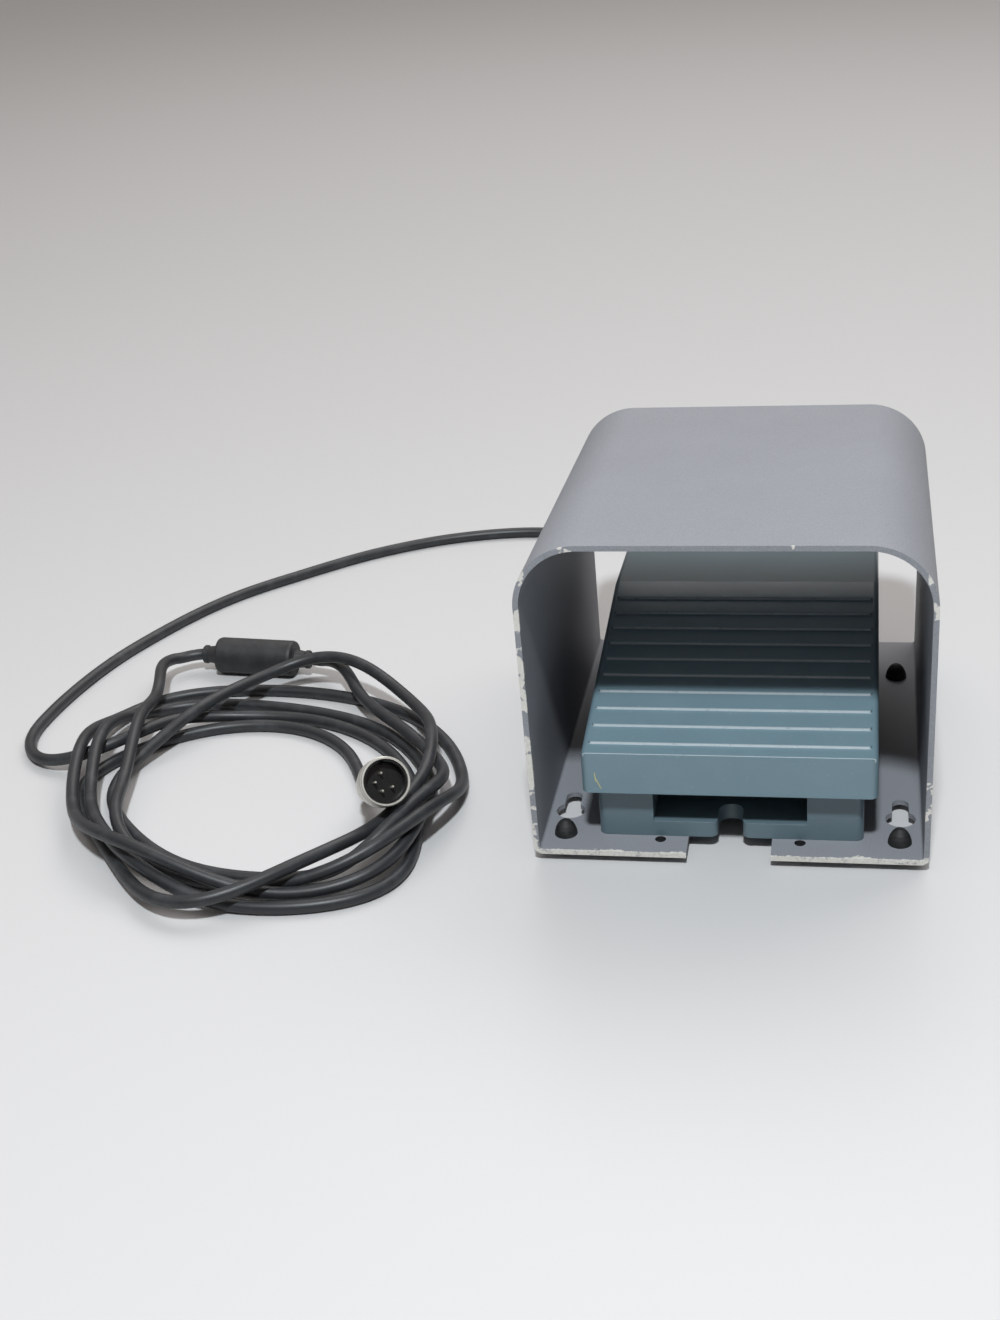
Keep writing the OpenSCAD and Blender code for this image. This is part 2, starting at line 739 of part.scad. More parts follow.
// Two fixed contacts with their terminal tags
module fixed_contacts() {
    color(brass)
        for (s = [-1, 1]) translate([0, plunger_y, 0]) scale([1, s, 1]) {
            translate([-3, 6.5, contact_z - 1.2]) cube([6, block_l / 2 - 8, 1.2]);
            translate([-3, block_l / 2 - 3, contact_z - 1.2]) cube([6, 1.2, block_z - contact_z + 2]);
        }
}

module block_screws() {
    color(zinc)
        for (x = [-13, 13], y = [block_front + 5, block_front + block_l - 5])
            translate([x, y, 0]) {
                translate([0, 0, floor_z - 2]) cylinder(r = 1.2, h = block_h + 2);
                translate([0, 0, block_z]) cylinder(r = 2.6, h = 1.8);
            }
}

// Clamp screws that hold the wires to the tags
module terminal_screws() {
    color(brass)
        for (s = [-1, 1]) translate([0, plunger_y + s * (block_l / 2 - 1.8), block_z + 0.6])
            rotate([s > 0 ? -90 : 90, 0, 0]) {
                translate([0, 0, 0]) cylinder(r = 2, h = 1.6);
            }
}

// Insulated cores from the lead's end to the terminals
module inner_wires() {
    start = [0, base_rear - gland_wall - 8.1, gland_z];
    z_end = block_z + 1.1;
    tag = block_l / 2 - 1;
    color([0.55, 0.16, 0.12]) tube(curve([
        start + [0.9, 0, 0], start + [0.9, -2, 0], start + [3, -8, 2], [4, plunger_y + tag + 6, z_end],
        [2.9, plunger_y + tag + 2.5, z_end], [2.9, plunger_y + tag - 0.6, z_end],
    ], 3), 0.8, 6);
    color([0.12, 0.2, 0.5]) tube(curve([
        start + [-0.9, 0, 0], start + [-0.9, -2, 0], start + [-7, -9, 0],
        [-block_w / 2 - 4, plunger_y + tag - 4, z_end - 6], [-block_w / 2 - 5, plunger_y, z_end - 8],
        [-block_w / 2 - 3.5, plunger_y - tag + 6, z_end - 3],
        [-block_w / 2 + 1, plunger_y - tag + 0.5, z_end + 0.4],
        [-9, plunger_y - tag, z_end], [-2.2, plunger_y - tag, z_end],
    ], 3), 0.8, 6);
}

// ---------------------------------------------------------------- cable gland

module gland_body() {
    color(zinc) difference() {
        union() {
            rod_y(0, base_rear - gland_wall - 5, gland_z, gland_d / 2, gland_wall + 5 + eps);
            translate([0, base_rear, gland_z]) rotate([-90, 30, 0]) hex(gland_af, gland_body_l);
            rod_y(0, base_rear + gland_body_l - eps, gland_z, gland_d / 2 - 0.5, 5);
        }
        rod_y(0, base_rear - gland_wall - 6, gland_z, cord_d / 2 + 0.5, 40);
        rod_y(0, base_rear + gland_body_l, gland_z, cord_d / 2 + 1.9, 40);
    }
}

module gland_locknut() {
    color(zinc) translate([0, base_rear - gland_wall, gland_z]) rotate([90, 30, 0]) difference() {
        hex(gland_af, 3.5);
        translate([0, 0, -1]) cylinder(r = gland_d / 2, h = 6);
    }
}

// Rubber sleeve squeezed on to the lead
module gland_seal() {
    color(rubber_black) translate([0, base_rear + gland_body_l + 0.1, gland_z]) rotate([-90, 0, 0])
        rotate_extrude() polygon([
            [cord_d / 2 - 0.1, 0], [cord_d / 2 + 1.8, 0], [cord_d / 2 + 1.8, 4.8],
            [cord_d / 2 + 0.6, 9], [cord_d / 2 - 0.1, 9],
        ]);
}

// Domed cap nut over the seal
module gland_nut() {
    r_in = cord_d / 2 + 0.4;
    thread_r = gland_d / 2 - 0.45;
    l = gland_nut_l;
    color(zinc) translate([0, base_rear + gland_body_l + 0.2, gland_z]) rotate([-90, 30, 0])
        difference() {
            union() {
                hex(gland_af, 7);
                rotate_extrude() polygon(concat(
                    [[0, 7 - eps], [gland_af / 2 - 0.4, 7 - eps]],
                    [for (i = [0 : 6]) let (a = i * 13) [
                        r_in + 0.9 + (gland_af / 2 - 1.7 - r_in) * cos(a),
                        8 + (l - 8.2) * sin(a) / sin(78)
                    ]],
                    [[0, l - 0.2]]
                ));
            }
            translate([0, 0, -1]) cylinder(r = r_in, h = l + 2);
            translate([0, 0, -1]) cylinder(r = thread_r, h = 6.2);
            translate([0, 0, 5]) cylinder(r1 = cord_d / 2 + 2.1, r2 = r_in, h = 5.5, $fn = 48);
        }
}

// ---------------------------------------------------------------- lead

// Points on the lead from inside the chamber to where it slips under the coil
lead_points = [
    [0, base_rear - gland_wall - 8, gland_z], [0, gland_mouth - 12, gland_z], [0, gland_mouth + 2, gland_z],
    [0, gland_mouth + 14, gland_z - 0.4],
    [-2, 128, 22.4], [-7.5, 146, 15.5], [-18.5, 164, 8.2], [-36, 181.5, 3.8], [-58, 196.5, 2.5],
    [-85, 208.5, 2.5], [-118, 213.8, 2.5], [-158, 206.4, 2.5], [-192.4, 189.1, 2.5],
    [-226.6, 161.1, 2.5], [-253.3, 134.4, 2.5], [-279.3, 90, 2.5],
    [-291, 60, 2.5], [-297.5, 31, 2.5], [-300, 7, 2.5], [-298, -12, 2.5], [-290.5, -25.5, 2.5],
    [-277, -31.5, 2.5], [-262, -28, 2.5], [-250, -17, 2.5],
];
// Reach of each turn of the coil from its centre, at every eighth of a turn from the left
coil_centre = [-190, -45];
coil_reach = [
    [0, 66, 59, 57, 66, 96, 78, 63],
    [66, 88, 66, 64.5, 72.5, 90, 72, 69],
    [73, 97, 82, 80.5, 84.5, 84, 66, 57],
    [51.5, 86, 0, 0, 78.5, 78, 59.5, 51],
    [58, 58, 90, 77, 72, 72, 89, 63],
    [72, 60, 51, 44],
];
// Least height of the turn that springs up over the choke
arch_height = [0, 7, 12, 12, 11.5, 9, 8, 0];
first_step = 1;                          // first eighth of a turn after the lead
choke_step = 26;                         // eighths of a turn to where the choke takes over
after_choke_step = 28;
last_step = 44;
top_step = 23;                           // from here to the choke the lead lies over the coil
bottom_step = 38;                        // from here to the plug the lead lies under the coil

choke_left = [-244, 61.8, choke_d / 2];
choke_collar_l = 7;
choke_total = choke_l + 2 * choke_collar_l;
choke_yaw = -4.9;
choke_dir = [cos(choke_yaw), sin(choke_yaw), 0];
choke_right = choke_left + choke_total * choke_dir;
before_choke = [[-250, 29, 8.5], [-254.6, 43, 8.3], [-255.8, 52, 8], [-252.3, 59.5, 8]];
after_choke = [[-178, 49, 7], [-168, 33, 4], [-152, 10, 2.5]];

plug_face = [-124.9, -79.2, 28];
plug_rise = 32;
plug_turn = 28;
plug_dir = [cos(plug_rise) * sin(plug_turn), -cos(plug_rise) * cos(plug_turn), sin(plug_rise)];
plug_rear = plug_face - plug_l * plug_dir;
nut_hold = 8;                            // length of the lead held in the plug's cable nut

function coil_point(k) =
    let (
        turn = floor(k / 8),
        part = k - 8 * turn,
        a = 180 - 45 * k,
        h = turn == 4 ? max(cord_d / 2, arch_height[part]) : cord_d / 2
    )
    [coil_centre[0] + coil_reach[turn][part] * cos(a), coil_centre[1] + coil_reach[turn][part] * sin(a), h];
function on_floor(p, h) = [p[0], p[1], h];

route = concat(
    lead_points,
    [for (k = [first_step : choke_step - 1]) coil_point(k)],
    before_choke,
    [choke_left, choke_right, choke_right + 6 * choke_dir],
    after_choke,
    [for (k = [after_choke_step : last_step - 1]) coil_point(k)],
    [
        on_floor(plug_rear - 25 * plug_dir, 2.5), on_floor(plug_rear - 15 * plug_dir, 2.9),
        plug_rear - 6 * plug_dir, plug_rear, plug_rear + nut_hold * plug_dir
    ]
);
lead_end = len(lead_points) - 1;         // route point where the coil takes over
choke_in = lead_end + 1 + choke_step - first_step + len(before_choke);
choke_out = choke_in + 1;
coil_again = choke_out + 2 + len(after_choke);
plug_in = len(route) - 2;

// Rings of the tube between two points of the route, and samples between two rings
rings = [for (i = [0 : len(route) - 2])
    let (d = norm(route[i + 1] - route[i])) max(1, min(3, round(d / 12)))];
samples_per_ring = 3;

// Direction of the route at each of its points: the chords on both sides, the nearer one counting more
function span(i) = norm(route[i + 1] - route[i]);
function chord(i) = (route[i + 1] - route[i]) / span(i);
function heading(i) =
    i == 0 ? chord(0)
    : i == len(route) - 1 ? chord(i - 1)
    : i == choke_in || i == choke_out ? choke_dir
    : (span(i) * chord(i - 1) + span(i - 1) * chord(i)) / (span(i) + span(i - 1));
// Point at fraction t of the cubic between route points i and i + 1
function on_span(i, t) =
    let (d = span(i), t2 = t * t, t3 = t2 * t)
    (2 * t3 - 3 * t2 + 1) * route[i] + (t3 - 2 * t2 + t) * d * heading(i)
    + (3 * t2 - 2 * t3) * route[i + 1] + (t3 - t2) * d * heading(i + 1);

// Samples on the flat route: [point, route index]
function flat_samples() = concat(
    [for (i = [0 : len(route) - 2], j = [0 : rings[i] * samples_per_ring - 1])
        on_span(i, j / (rings[i] * samples_per_ring))],
    [route[len(route) - 1]]
);
function sample_spans() = concat(
    [for (i = [0 : len(route) - 2], j = [0 : rings[i] * samples_per_ring - 1]) i],
    [len(route) - 1]
);
// Freedom of a sample: none near the gland, the choke and the plug, full from the third sample on
function is_tied(i) = i < lead_end - 8 || i == choke_in || i >= plug_in - 2;
function freedom(tied, i) =
    tied[i] ? 0
    : tied[max(0, i - 1)] || tied[min(len(tied) - 1, i + 1)] ? 1 / 3
    : tied[max(0, i - 2)] || tied[min(len(tied) - 1, i + 2)] ? 2 / 3
    : 1;
// Samples moved by a share of the way to the middle of their two neighbours
function moved(p, free, share) = concat(
    [p[0]],
    [for (i = [1 : len(p) - 2]) p[i] + share * free[i] * ((p[i - 1] + p[i + 1]) / 2 - p[i])],
    [p[len(p) - 1]]
);
// Kinks eased with the turns' size kept: half way in, then a little more than half way out again
function eased(p, free, rounds) =
    rounds == 0 ? p : eased(moved(moved(p, free, 0.5), free, -0.52), free, rounds - 1);
function running_length(p, i = 1, sum = [0]) =
    i == len(p) ? sum
    : running_length(p, i + 1, concat(sum, [sum[i - 1] + norm(flat(p[i]) - flat(p[i - 1]))]));
function flat(p) = [p[0], p[1]];

cord_gap = 0.9;                          // air between two turns side by side
cross_gap = 1.25;                        // factor on the height of a crossing
hump = 42;                               // half length of the hump of a turn over another
own_turn = 120;                          // stretch of the lead that can't cross itself
function is_held(i) =
    i < lead_end - 2 || (i >= choke_in - 1 && i <= choke_out) || i >= plug_in - 3;
// Order of lying: along the lead, but for the stretch laid on top and the one laid beneath
function laid(i, s) =
    i >= lead_end + top_step - first_step + 1 && i < choke_in ? s + 5000
    : i >= coil_again + bottom_step - after_choke_step ? s - 5000
    : s;

// For each sample the samples it lies over: [sample, rise]
function crossings(p, s, order) =
    let (need = cord_d + cord_gap)
    [for (i = [0 : len(p) - 1]) [
        for (j = [0 : len(p) - 1])
            if (abs(p[i][0] - p[j][0]) < need && abs(p[i][1] - p[j][1]) < need
                && order[i] > order[j] && abs(s[i] - s[j]) > own_turn)
                let (d = norm(flat(p[i]) - flat(p[j])))
                if (d < need) [j, cross_gap * sqrt(need * need - d * d)]
    ]];
// Lift that each sample needs to clear what it crosses, at the present heights z
function lifts(p, z, over) = [
    for (i = [0 : len(p) - 1])
        len(over[i]) == 0 ? 0
        : max([for (c = over[i])
            p[i][2] <= z[c[0]] - c[1] && z[i] <= z[c[0]] - 0.98 * c[1] ? 0
            : max(0, z[c[0]] + c[1] - p[i][2])])
];
// Heights with each lift spread over a long low hump
function humped(p, s, held, lift) =
    let (lifted = [for (i = [0 : len(p) - 1]) if (lift[i] > 0) i])
    [for (i = [0 : len(p) - 1])
        held[i] ? p[i][2]
        : p[i][2] + max(concat([0], [for (j = lifted)
            if (abs(s[i] - s[j]) < hump) lift[j] * (1 + cos(180 * (s[i] - s[j]) / hump)) / 2]))];
function settled(p, s, held, over, z, rounds) =
    rounds == 0 ? z
    : settled(p, s, held, over, humped(p, s, held, lifts(p, z, over)), rounds - 1);

// The whole lead as samples that lie on the floor and over each other
function cord_samples() =
    let (
        spans = sample_spans(),
        tied = [for (i = spans) is_tied(i)],
        p = eased(flat_samples(), [for (i = [0 : len(tied) - 1]) freedom(tied, i)], 30),
        s = running_length(p),
        held = [for (i = spans) is_held(i)],
        over = crossings(p, s, [for (i = [0 : len(p) - 1]) laid(spans[i], s[i])]),
        z = settled(p, s, held, over, [for (q = p) q[2]], 8)
    )
    [for (i = [0 : len(p) - 1]) [p[i][0], p[i][1], max(cord_d / 2, z[i])]];
function ring_before(i) = i == 0 ? 0 : ring_before(i - 1) + rings[i - 1];
// Ring centres along the whole lead, and those between two points of the route
function all_rings() =
    let (p = cord_samples())
    [for (k = [0 : ring_before(len(route) - 1)]) p[k * samples_per_ring]];
function cord_rings(from, to) =
    let (p = all_rings())
    [for (k = [ring_before(from) : ring_before(to)]) p[k]];

// Smooth curve through free points, n steps between two of them
function curve(p, n) =
    let (last = len(p) - 1)
    concat(
        [for (i = [0 : last - 1], j = [0 : n - 1])
            let (
                t = j / n,
                a = i == 0 ? p[1] - p[0] : (p[i + 1] - p[i - 1]) / 2,
                b = i == last - 1 ? p[last] - p[last - 1] : (p[i + 2] - p[i]) / 2
            )
            (2 * pow(t, 3) - 3 * t * t + 1) * p[i] + (pow(t, 3) - 2 * t * t + t) * a
            + (3 * t * t - 2 * pow(t, 3)) * p[i + 1] + (pow(t, 3) - t * t) * b],
        [p[last]]
    );

function unit(v) = v / norm(v);
function path_dir(p, i) =
    i == 0 ? unit(p[1] - p[0])
    : i == len(p) - 1 ? unit(p[i] - p[i - 1])
    : unit(unit(p[i + 1] - p[i]) + unit(p[i] - p[i - 1]));

// Tube of n sides along a path that nowhere runs upright, or along a part of it
module tube(p, r, n, first = 0, end = undef) {
    stop = is_undef(end) ? len(p) - 1 : end;
    last = stop - first;
    points = [for (i = [first : stop])
        let (
            t = path_dir(p, i),
            side = unit(cross(t, [0, 0, 1])),
            up = cross(side, t)
        )
        each [for (k = [0 : n - 1]) let (a = 360 * k / n - 90) p[i] + r * (cos(a) * side + sin(a) * up)]
    ];
    polyhedron(points, concat(
        [[for (k = [0 : n - 1]) n - 1 - k]],
        [[for (k = [0 : n - 1]) last * n + k]],
        [for (i = [0 : last - 1], k = [0 : n - 1]) let (a = i * n + k, b = i * n + (k + 1) % n)
            each [[a, b, a + n], [b, b + n, a + n]]]
    ));
}

module cord_lead() {
    color(cord_black) tube(all_rings(), cord_d / 2, 8, 0, ring_before(lead_end));
}

module cord_coil() {
    echo(least_gap_in_coil = least_gap(cord_rings(lead_end, choke_out), cord_d, 40));
    color(cord_black) tube(all_rings(), cord_d / 2, 6, ring_before(lead_end), ring_before(choke_out));
}

module cord_tail() {
    p = all_rings();
    echo(least_gap_in_tail = least_gap(cord_rings(choke_out, len(route) - 1), cord_d, 40));
    echo(least_gap_whole_lead = least_gap(p, cord_d, 40));
    echo(lead_length = path_length(p));
    color(cord_black) tube(p, cord_d / 2, 6, ring_before(choke_out), len(p) - 1);
}

// Least air between two stretches of a tube of diameter d that lie over own apart along it,
// measured on points along its chords
function least_gap(p, d, own) =
    let (
        q = [for (i = [0 : len(p) - 2], t = [0 : 0.25 : 0.75]) p[i] * (1 - t) + p[i + 1] * t],
        s = path_lengths(q)
    )
    min([for (i = [0 : len(q) - 1]) min(concat([999], [
        for (j = [0 : 1 : i - 1]) if (s[i] - s[j] > own) norm(q[i] - q[j]) - d]))]);
function path_lengths(p, i = 1, sum = [0]) =
    i == len(p) ? sum : path_lengths(p, i + 1, concat(sum, [sum[i - 1] + norm(p[i] - p[i - 1])]));
function path_length(p) = path_lengths(p)[len(p) - 1];

// ---------------------------------------------------------------- choke

module at_choke() {
    translate(choke_left) rotate([0, 90, choke_yaw]) children();
}

module choke_shell() {
    r = choke_d / 2;
    c = choke_collar_l;
    l = choke_l;
    color(cord_black) at_choke() difference() {
        rotate_extrude() polygon([
            [0, 0], [3.8, 0], [4.1, 0.4], [4.1, 1.6], [3.6, 2.2], [4.2, c - 0.6], [5, c],
            [r - 1.4, c], [r - 0.4, c + 0.5], [r, c + 1.6],
            [r, c + l - 1.6], [r - 0.4, c + l - 0.5], [r - 1.4, c + l],
            [5, c + l], [4.2, c + l + 0.6], [3.6, 2 * c + l - 2.2], [4.1, 2 * c + l - 1.6],
            [4.1, 2 * c + l - 0.4], [3.8, 2 * c + l], [0, 2 * c + l],
        ]);
        translate([0, 0, -1]) cylinder(r = cord_d / 2, h = choke_total + 2);
        translate([0, 0, c + 2.5]) cylinder(r = r - 1.5, h = l - 5);
    }
}

module choke_core() {
    color([0.2, 0.2, 0.2]) at_choke() translate([0, 0, choke_collar_l + 2.6]) difference() {
        cylinder(r = choke_d / 2 - 1.6, h = choke_l - 5.2);
        translate([0, 0, -1]) cylinder(r = cord_d / 2 + 0.3, h = choke_l);
    }
}

// ---------------------------------------------------------------- plug

ring_wall = 0.95;
ring_back = plug_l - ring_l;
module at_plug() {
    translate(plug_rear) rotate([90 - plug_rise, 0, plug_turn]) children();
}

module plug_cable_nut() {
    color(nickel) at_plug() difference() {
        rotate_extrude() polygon([
            [0, 0], [3.9, 0], [5.2, 1.2], [6.2, 3.2], [6.2, 8.6], [5.9, 9], [0, 9],
        ]);
        translate([0, 0, -1]) cylinder(r = cord_d / 2, h = 12);
        for (i = [0 : 11]) rotate(i * 30) translate([6.35, 0, 3.6]) cylinder(r = 0.4, h = 4.4, $fn = 8);
    }
}

module plug_shell() {
    r = ring_d / 2 - ring_wall - 0.7;
    color(nickel) at_plug() rotate_extrude() polygon([
        [2.7, 9], [r - 0.8, 9], [r, 9.8], [r, ring_back + 1.8], [r + 0.5, ring_back + 1.8],
        [r + 0.5, ring_back + 3], [r - 0.9, ring_back + 3], [r - 0.9, 11], [2.7, 11],
    ]);
}

// Knurled coupling ring that turns on the shell
module coupling_ring() {
    r = ring_d / 2;
    step_r = r - ring_wall - 0.65;
    color(nickel) at_plug() translate([0, 0, ring_back]) difference() {
        rotate_extrude() polygon([
            [step_r, 0], [r - 1, 0], [r - 0.4, 0.5], [r - 0.4, 2], [r, 2.4], [r, ring_l - 4],
            [r - 0.35, ring_l - 3.6], [r - 0.35, ring_l - 2.6], [r, ring_l - 2.2], [r, ring_l - 0.4],
            [r - 0.3, ring_l], [r - ring_wall, ring_l], [r - ring_wall, 1.5], [step_r, 1.5],
        ]);
        for (i = [0 : 23]) rotate(i * 15) translate([r + 0.15, 0, 2.8])
            cylinder(r = 0.4, h = ring_l - 7.2, $fn = 6);
    }
}

// Black pin carrier with a raised rim
module plug_insert() {
    r = ring_d / 2 - ring_wall - 0.2;
    z = ring_back + 3.1;
    front = plug_l - 0.8;
    color([0.05, 0.05, 0.05]) at_plug() difference() {
        rotate_extrude() polygon([
            [0, z], [r, z], [r, front], [r - 0.7, front], [r - 0.9, z + 4.4], [0, z + 4.4],
        ]);
        translate([-1, r - 1.7, z + 3]) cube([2, 1.4, 10]);
        for (i = [0 : plug_pin_count - 1]) rotate(100 + 72 * i)
            translate([plug_pin_circle, 0, z + 2]) cylinder(r = 0.5, h = 10);
    }
}

module plug_pins() {
    z = ring_back + 3.1 + 2;
    color(brass) at_plug()
        for (i = [0 : plug_pin_count - 1]) rotate(100 + 72 * i)
            translate([plug_pin_circle, 0, z]) {
                cylinder(r = 0.5, h = 5.9);
                translate([0, 0, 5.9]) cylinder(r1 = 0.5, r2 = 0.25, h = 0.5, $fn = 24);
            }
}

// ---------------------------------------------------------------- parts

guard_hood();
hood_feet();
hood_screws();
base_housing();
stop_buffers();
chamber_gasket();
chamber_lid();
lid_screws();
pedal();
pivot_pin();
pivot_clips();
return_spring();
plunger();
plunger_bush();
plunger_wiper();
contact_bridge();
contact_block();
fixed_contacts();
block_screws();
terminal_screws();
inner_wires();
gland_body();
gland_nut();
gland_seal();
gland_locknut();
cord_lead();
cord_coil();
cord_tail();
choke_shell();
choke_core();
plug_shell();
coupling_ring();
plug_insert();
plug_pins();
plug_cable_nut();
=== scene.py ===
"""Looks of a guarded foot switch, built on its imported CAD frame. Metres, +Z up, -Y is the front."""
import math

import bmesh
import bpy
import numpy as np
from mathutils import Matrix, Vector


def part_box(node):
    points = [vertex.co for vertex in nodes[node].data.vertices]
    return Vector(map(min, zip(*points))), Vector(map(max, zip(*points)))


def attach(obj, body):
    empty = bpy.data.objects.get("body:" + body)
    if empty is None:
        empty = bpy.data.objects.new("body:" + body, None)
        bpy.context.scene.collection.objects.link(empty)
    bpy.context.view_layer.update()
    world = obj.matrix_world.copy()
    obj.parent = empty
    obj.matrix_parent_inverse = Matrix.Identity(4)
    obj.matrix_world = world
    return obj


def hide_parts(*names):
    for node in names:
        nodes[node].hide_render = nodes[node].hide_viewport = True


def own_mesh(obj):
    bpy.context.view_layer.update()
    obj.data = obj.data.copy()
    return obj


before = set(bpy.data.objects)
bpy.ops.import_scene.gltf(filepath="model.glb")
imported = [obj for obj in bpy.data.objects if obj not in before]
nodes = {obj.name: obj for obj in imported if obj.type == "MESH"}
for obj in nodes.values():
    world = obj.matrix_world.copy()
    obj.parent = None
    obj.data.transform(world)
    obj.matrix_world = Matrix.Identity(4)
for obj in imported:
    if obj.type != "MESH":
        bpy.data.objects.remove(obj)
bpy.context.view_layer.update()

# ------------------------------------------------------------------ studio and camera
# A flat pale table, a small key lamp high in front, a large soft lamp high behind, and a dim room
# that is lighter overhead and behind. The camera stands in front and looks down at the switch.


def link(name, mesh):
    """A new object at the origin with this mesh."""
    made = bpy.data.objects.new(name, mesh)
    bpy.context.scene.collection.objects.link(made)
    return made


def grid_mesh(name, points, wrap_u=False, wrap_v=False, caps=False):
    """Mesh over a grid of points (rows u, columns v): one quad between four neighbours, closed
    round in u or v where wrapped, and with the first and last row filled where capped."""
    rows, columns = points.shape[:2]
    u = np.arange(rows if wrap_u else rows - 1)
    v = np.arange(columns if wrap_v else columns - 1)
    a, b = np.meshgrid(u, v, indexing="ij")
    a, b = a.ravel(), b.ravel()
    a2, b2 = (a + 1) % rows, (b + 1) % columns
    quads = np.stack([a * columns + b, a2 * columns + b, a2 * columns + b2, a * columns + b2], 1)
    faces = quads.tolist()
    if caps:
        first = list(range(columns))
        faces += [first, [(rows - 1) * columns + k for k in reversed(first)]]
    mesh = bpy.data.meshes.new(name)
    mesh.from_pydata(points.reshape(-1, 3), [], faces)
    mesh.shade_smooth()
    mesh.update()
    return mesh


def srgb(red, green, blue):
    """Linear colour of three display values from 0 to 255: ((c + 0.055) / 1.055) to the 2.4."""
    c = np.array([red, green, blue]) / 255
    return (*np.where(c < 0.04045, c / 12.92, ((c + 0.055) / 1.055) ** 2.4), 1.0)


class Wire:
    """An output socket in one material's node tree. Arithmetic on it adds Math nodes."""

    def __init__(self, tree, socket=None):
        self.tree, self.socket = tree, socket

    def node(self, kind, settings, sockets, out=0):
        """The chosen output of a new node: its settings, then values or links of its inputs."""
        made = self.tree.nodes.new("ShaderNode" + kind)
        for key, value in settings.items():
            setattr(made, key, value)
        for key, value in sockets.items():
            if isinstance(value, Wire):
                self.tree.links.new(value.socket, made.inputs[key])
            else:
                made.inputs[key].default_value = value
        return Wire(self.tree, made.outputs[out] if made.outputs else None)

    def maths(self, operation, a, b=0.0, clamp=False):
        return self.node("Math", {"operation": operation, "use_clamp": clamp}, {0: a, 1: b})

    def __add__(self, other):
        return self.maths("ADD", self, other)

    __radd__ = __add__

    def __sub__(self, other):
        return self.maths("SUBTRACT", self, other)

    def __rsub__(self, other):
        return self.maths("SUBTRACT", other, self)

    def __mul__(self, other):
        return self.maths("MULTIPLY", self, other)

    __rmul__ = __mul__

    def __truediv__(self, other):
        return self.maths("DIVIDE", self, other)

    def __gt__(self, other):
        return self.maths("GREATER_THAN", self, other)

    def __lt__(self, other):
        return self.maths("LESS_THAN", self, other)

    def __abs__(self):
        return self.maths("ABSOLUTE", self)

    def fraction(self):
        return self.maths("FRACT", self)

    def clamped(self):
        return self.maths("ADD", self, 0.0, clamp=True)

    def rise(self, low, high):
        """0 below low, 1 above high, smooth between them (also where high lies under low)."""
        return self.node("MapRange", {"interpolation_type": "SMOOTHSTEP"},
                         {0: self, 1: low, 2: high, 3: 0.0, 4: 1.0})

    def blend(self, a, b):
        """Colour a where this is 0, colour b where it is 1."""
        return self.node("Mix", {"data_type": "RGBA"}, {0: self, 6: a, 7: b}, out=2)

    def axes(self):
        """The x, y and z of a vector."""
        parts = self.node("SeparateXYZ", {}, {0: self}).socket.node.outputs
        return [Wire(self.tree, part) for part in parts]


def noise(place, scale, detail=2.0, roughness=0.5):
    """Noise of about 1/scale metres, centred on 0.5."""
    return place.node("TexNoise", {}, {"Vector": place, "Scale": scale, "Detail": detail,
                                       "Roughness": roughness})


def new_finish(name):
    """An empty material, and the object coordinates that it is made from."""
    finish = bpy.data.materials.new(name)
    finish.use_nodes = True
    finish.node_tree.nodes.clear()
    place = Wire(finish.node_tree).node("TexCoord", {}, {}, out="Object")
    return finish, place


def close_finish(place, height=None, depth=0.0001, **sockets):
    """Shader and output of a material. Height runs from 0 to 1 over depth metres."""
    values = {key.replace("_", " ").title(): value for key, value in sockets.items()}
    if "Ior" in values:
        values["IOR"] = values.pop("Ior")
    if height is not None:
        values["Normal"] = place.node("Bump", {}, {"Height": height, "Distance": depth,
                                                   "Strength": 1.0})
    shader = place.node("BsdfPrincipled", {}, values)
    place.node("OutputMaterial", {}, {"Surface": shader})


def dress(piece, finish):
    """Gives a piece this one material."""
    piece.data.materials.clear()
    piece.data.materials.append(finish)
    return piece


floor_points = np.array([[[-4, -3, 0], [-4, 7, 0]], [[4, -3, 0], [4, 7, 0]]], float)
floor = link("table", grid_mesh("table", floor_points))
table_white, place = new_finish("table_white")
close_finish(place, base_color=srgb(199, 199, 200), roughness=0.4, ior=1.3)
dress(floor, table_white)

scene = bpy.context.scene
scene.view_settings.view_transform = "Standard"
world = bpy.data.worlds.new("room")
world.use_nodes = True
sky = Wire(world.node_tree)
_, ray_y, ray_z = sky.node("TexCoord", {}, {}, out="Generated").axes()
overhead, behind, everywhere = ray_z.rise(0.15, 0.9) * 0.42, ray_y.rise(-0.2, 0.7) * 0.23, 0.025
background = sky.tree.nodes["Background"]
sky.tree.links.new((overhead + behind + everywhere).socket, background.inputs["Strength"])
background.inputs["Color"].default_value = (1.0, 0.93, 0.88, 1.0)
scene.world = world


def lamp(name, at, towards, width, depth, power, colour):
    """Rectangular lamp at a point, facing another."""
    data = bpy.data.lights.new(name, "AREA")
    data.color = colour
    data.shape, data.size, data.size_y, data.energy = "RECTANGLE", width, depth, power
    made = bpy.data.objects.new(name, data)
    scene.collection.objects.link(made)
    at, towards = np.array(at, float), np.array(towards, float)
    back = (at - towards) / np.linalg.norm(at - towards)
    side = np.cross([0.0, 0.0, 1.0], back)
    side /= np.linalg.norm(side)
    turn = np.eye(4)
    turn[:3, 0], turn[:3, 1], turn[:3, 2], turn[:3, 3] = side, np.cross(back, side), back, at
    made.matrix_world = Matrix(turn.tolist())


key_rise, key_away = math.radians(60), 1.5
key_at = (0.05, -0.06 - key_away * math.cos(key_rise), 0.05 + key_away * math.sin(key_rise))
lamp("key", key_at, (0.0, -0.06, 0.05), 0.12, 0.12, 20.0, (0.95, 1.0, 1.03))
lamp("back", (0.3, 1.1, 1.62), (-0.1, 0.2, 0.0), 2.2, 1.0, 17.0, (1.0, 0.985, 0.97))

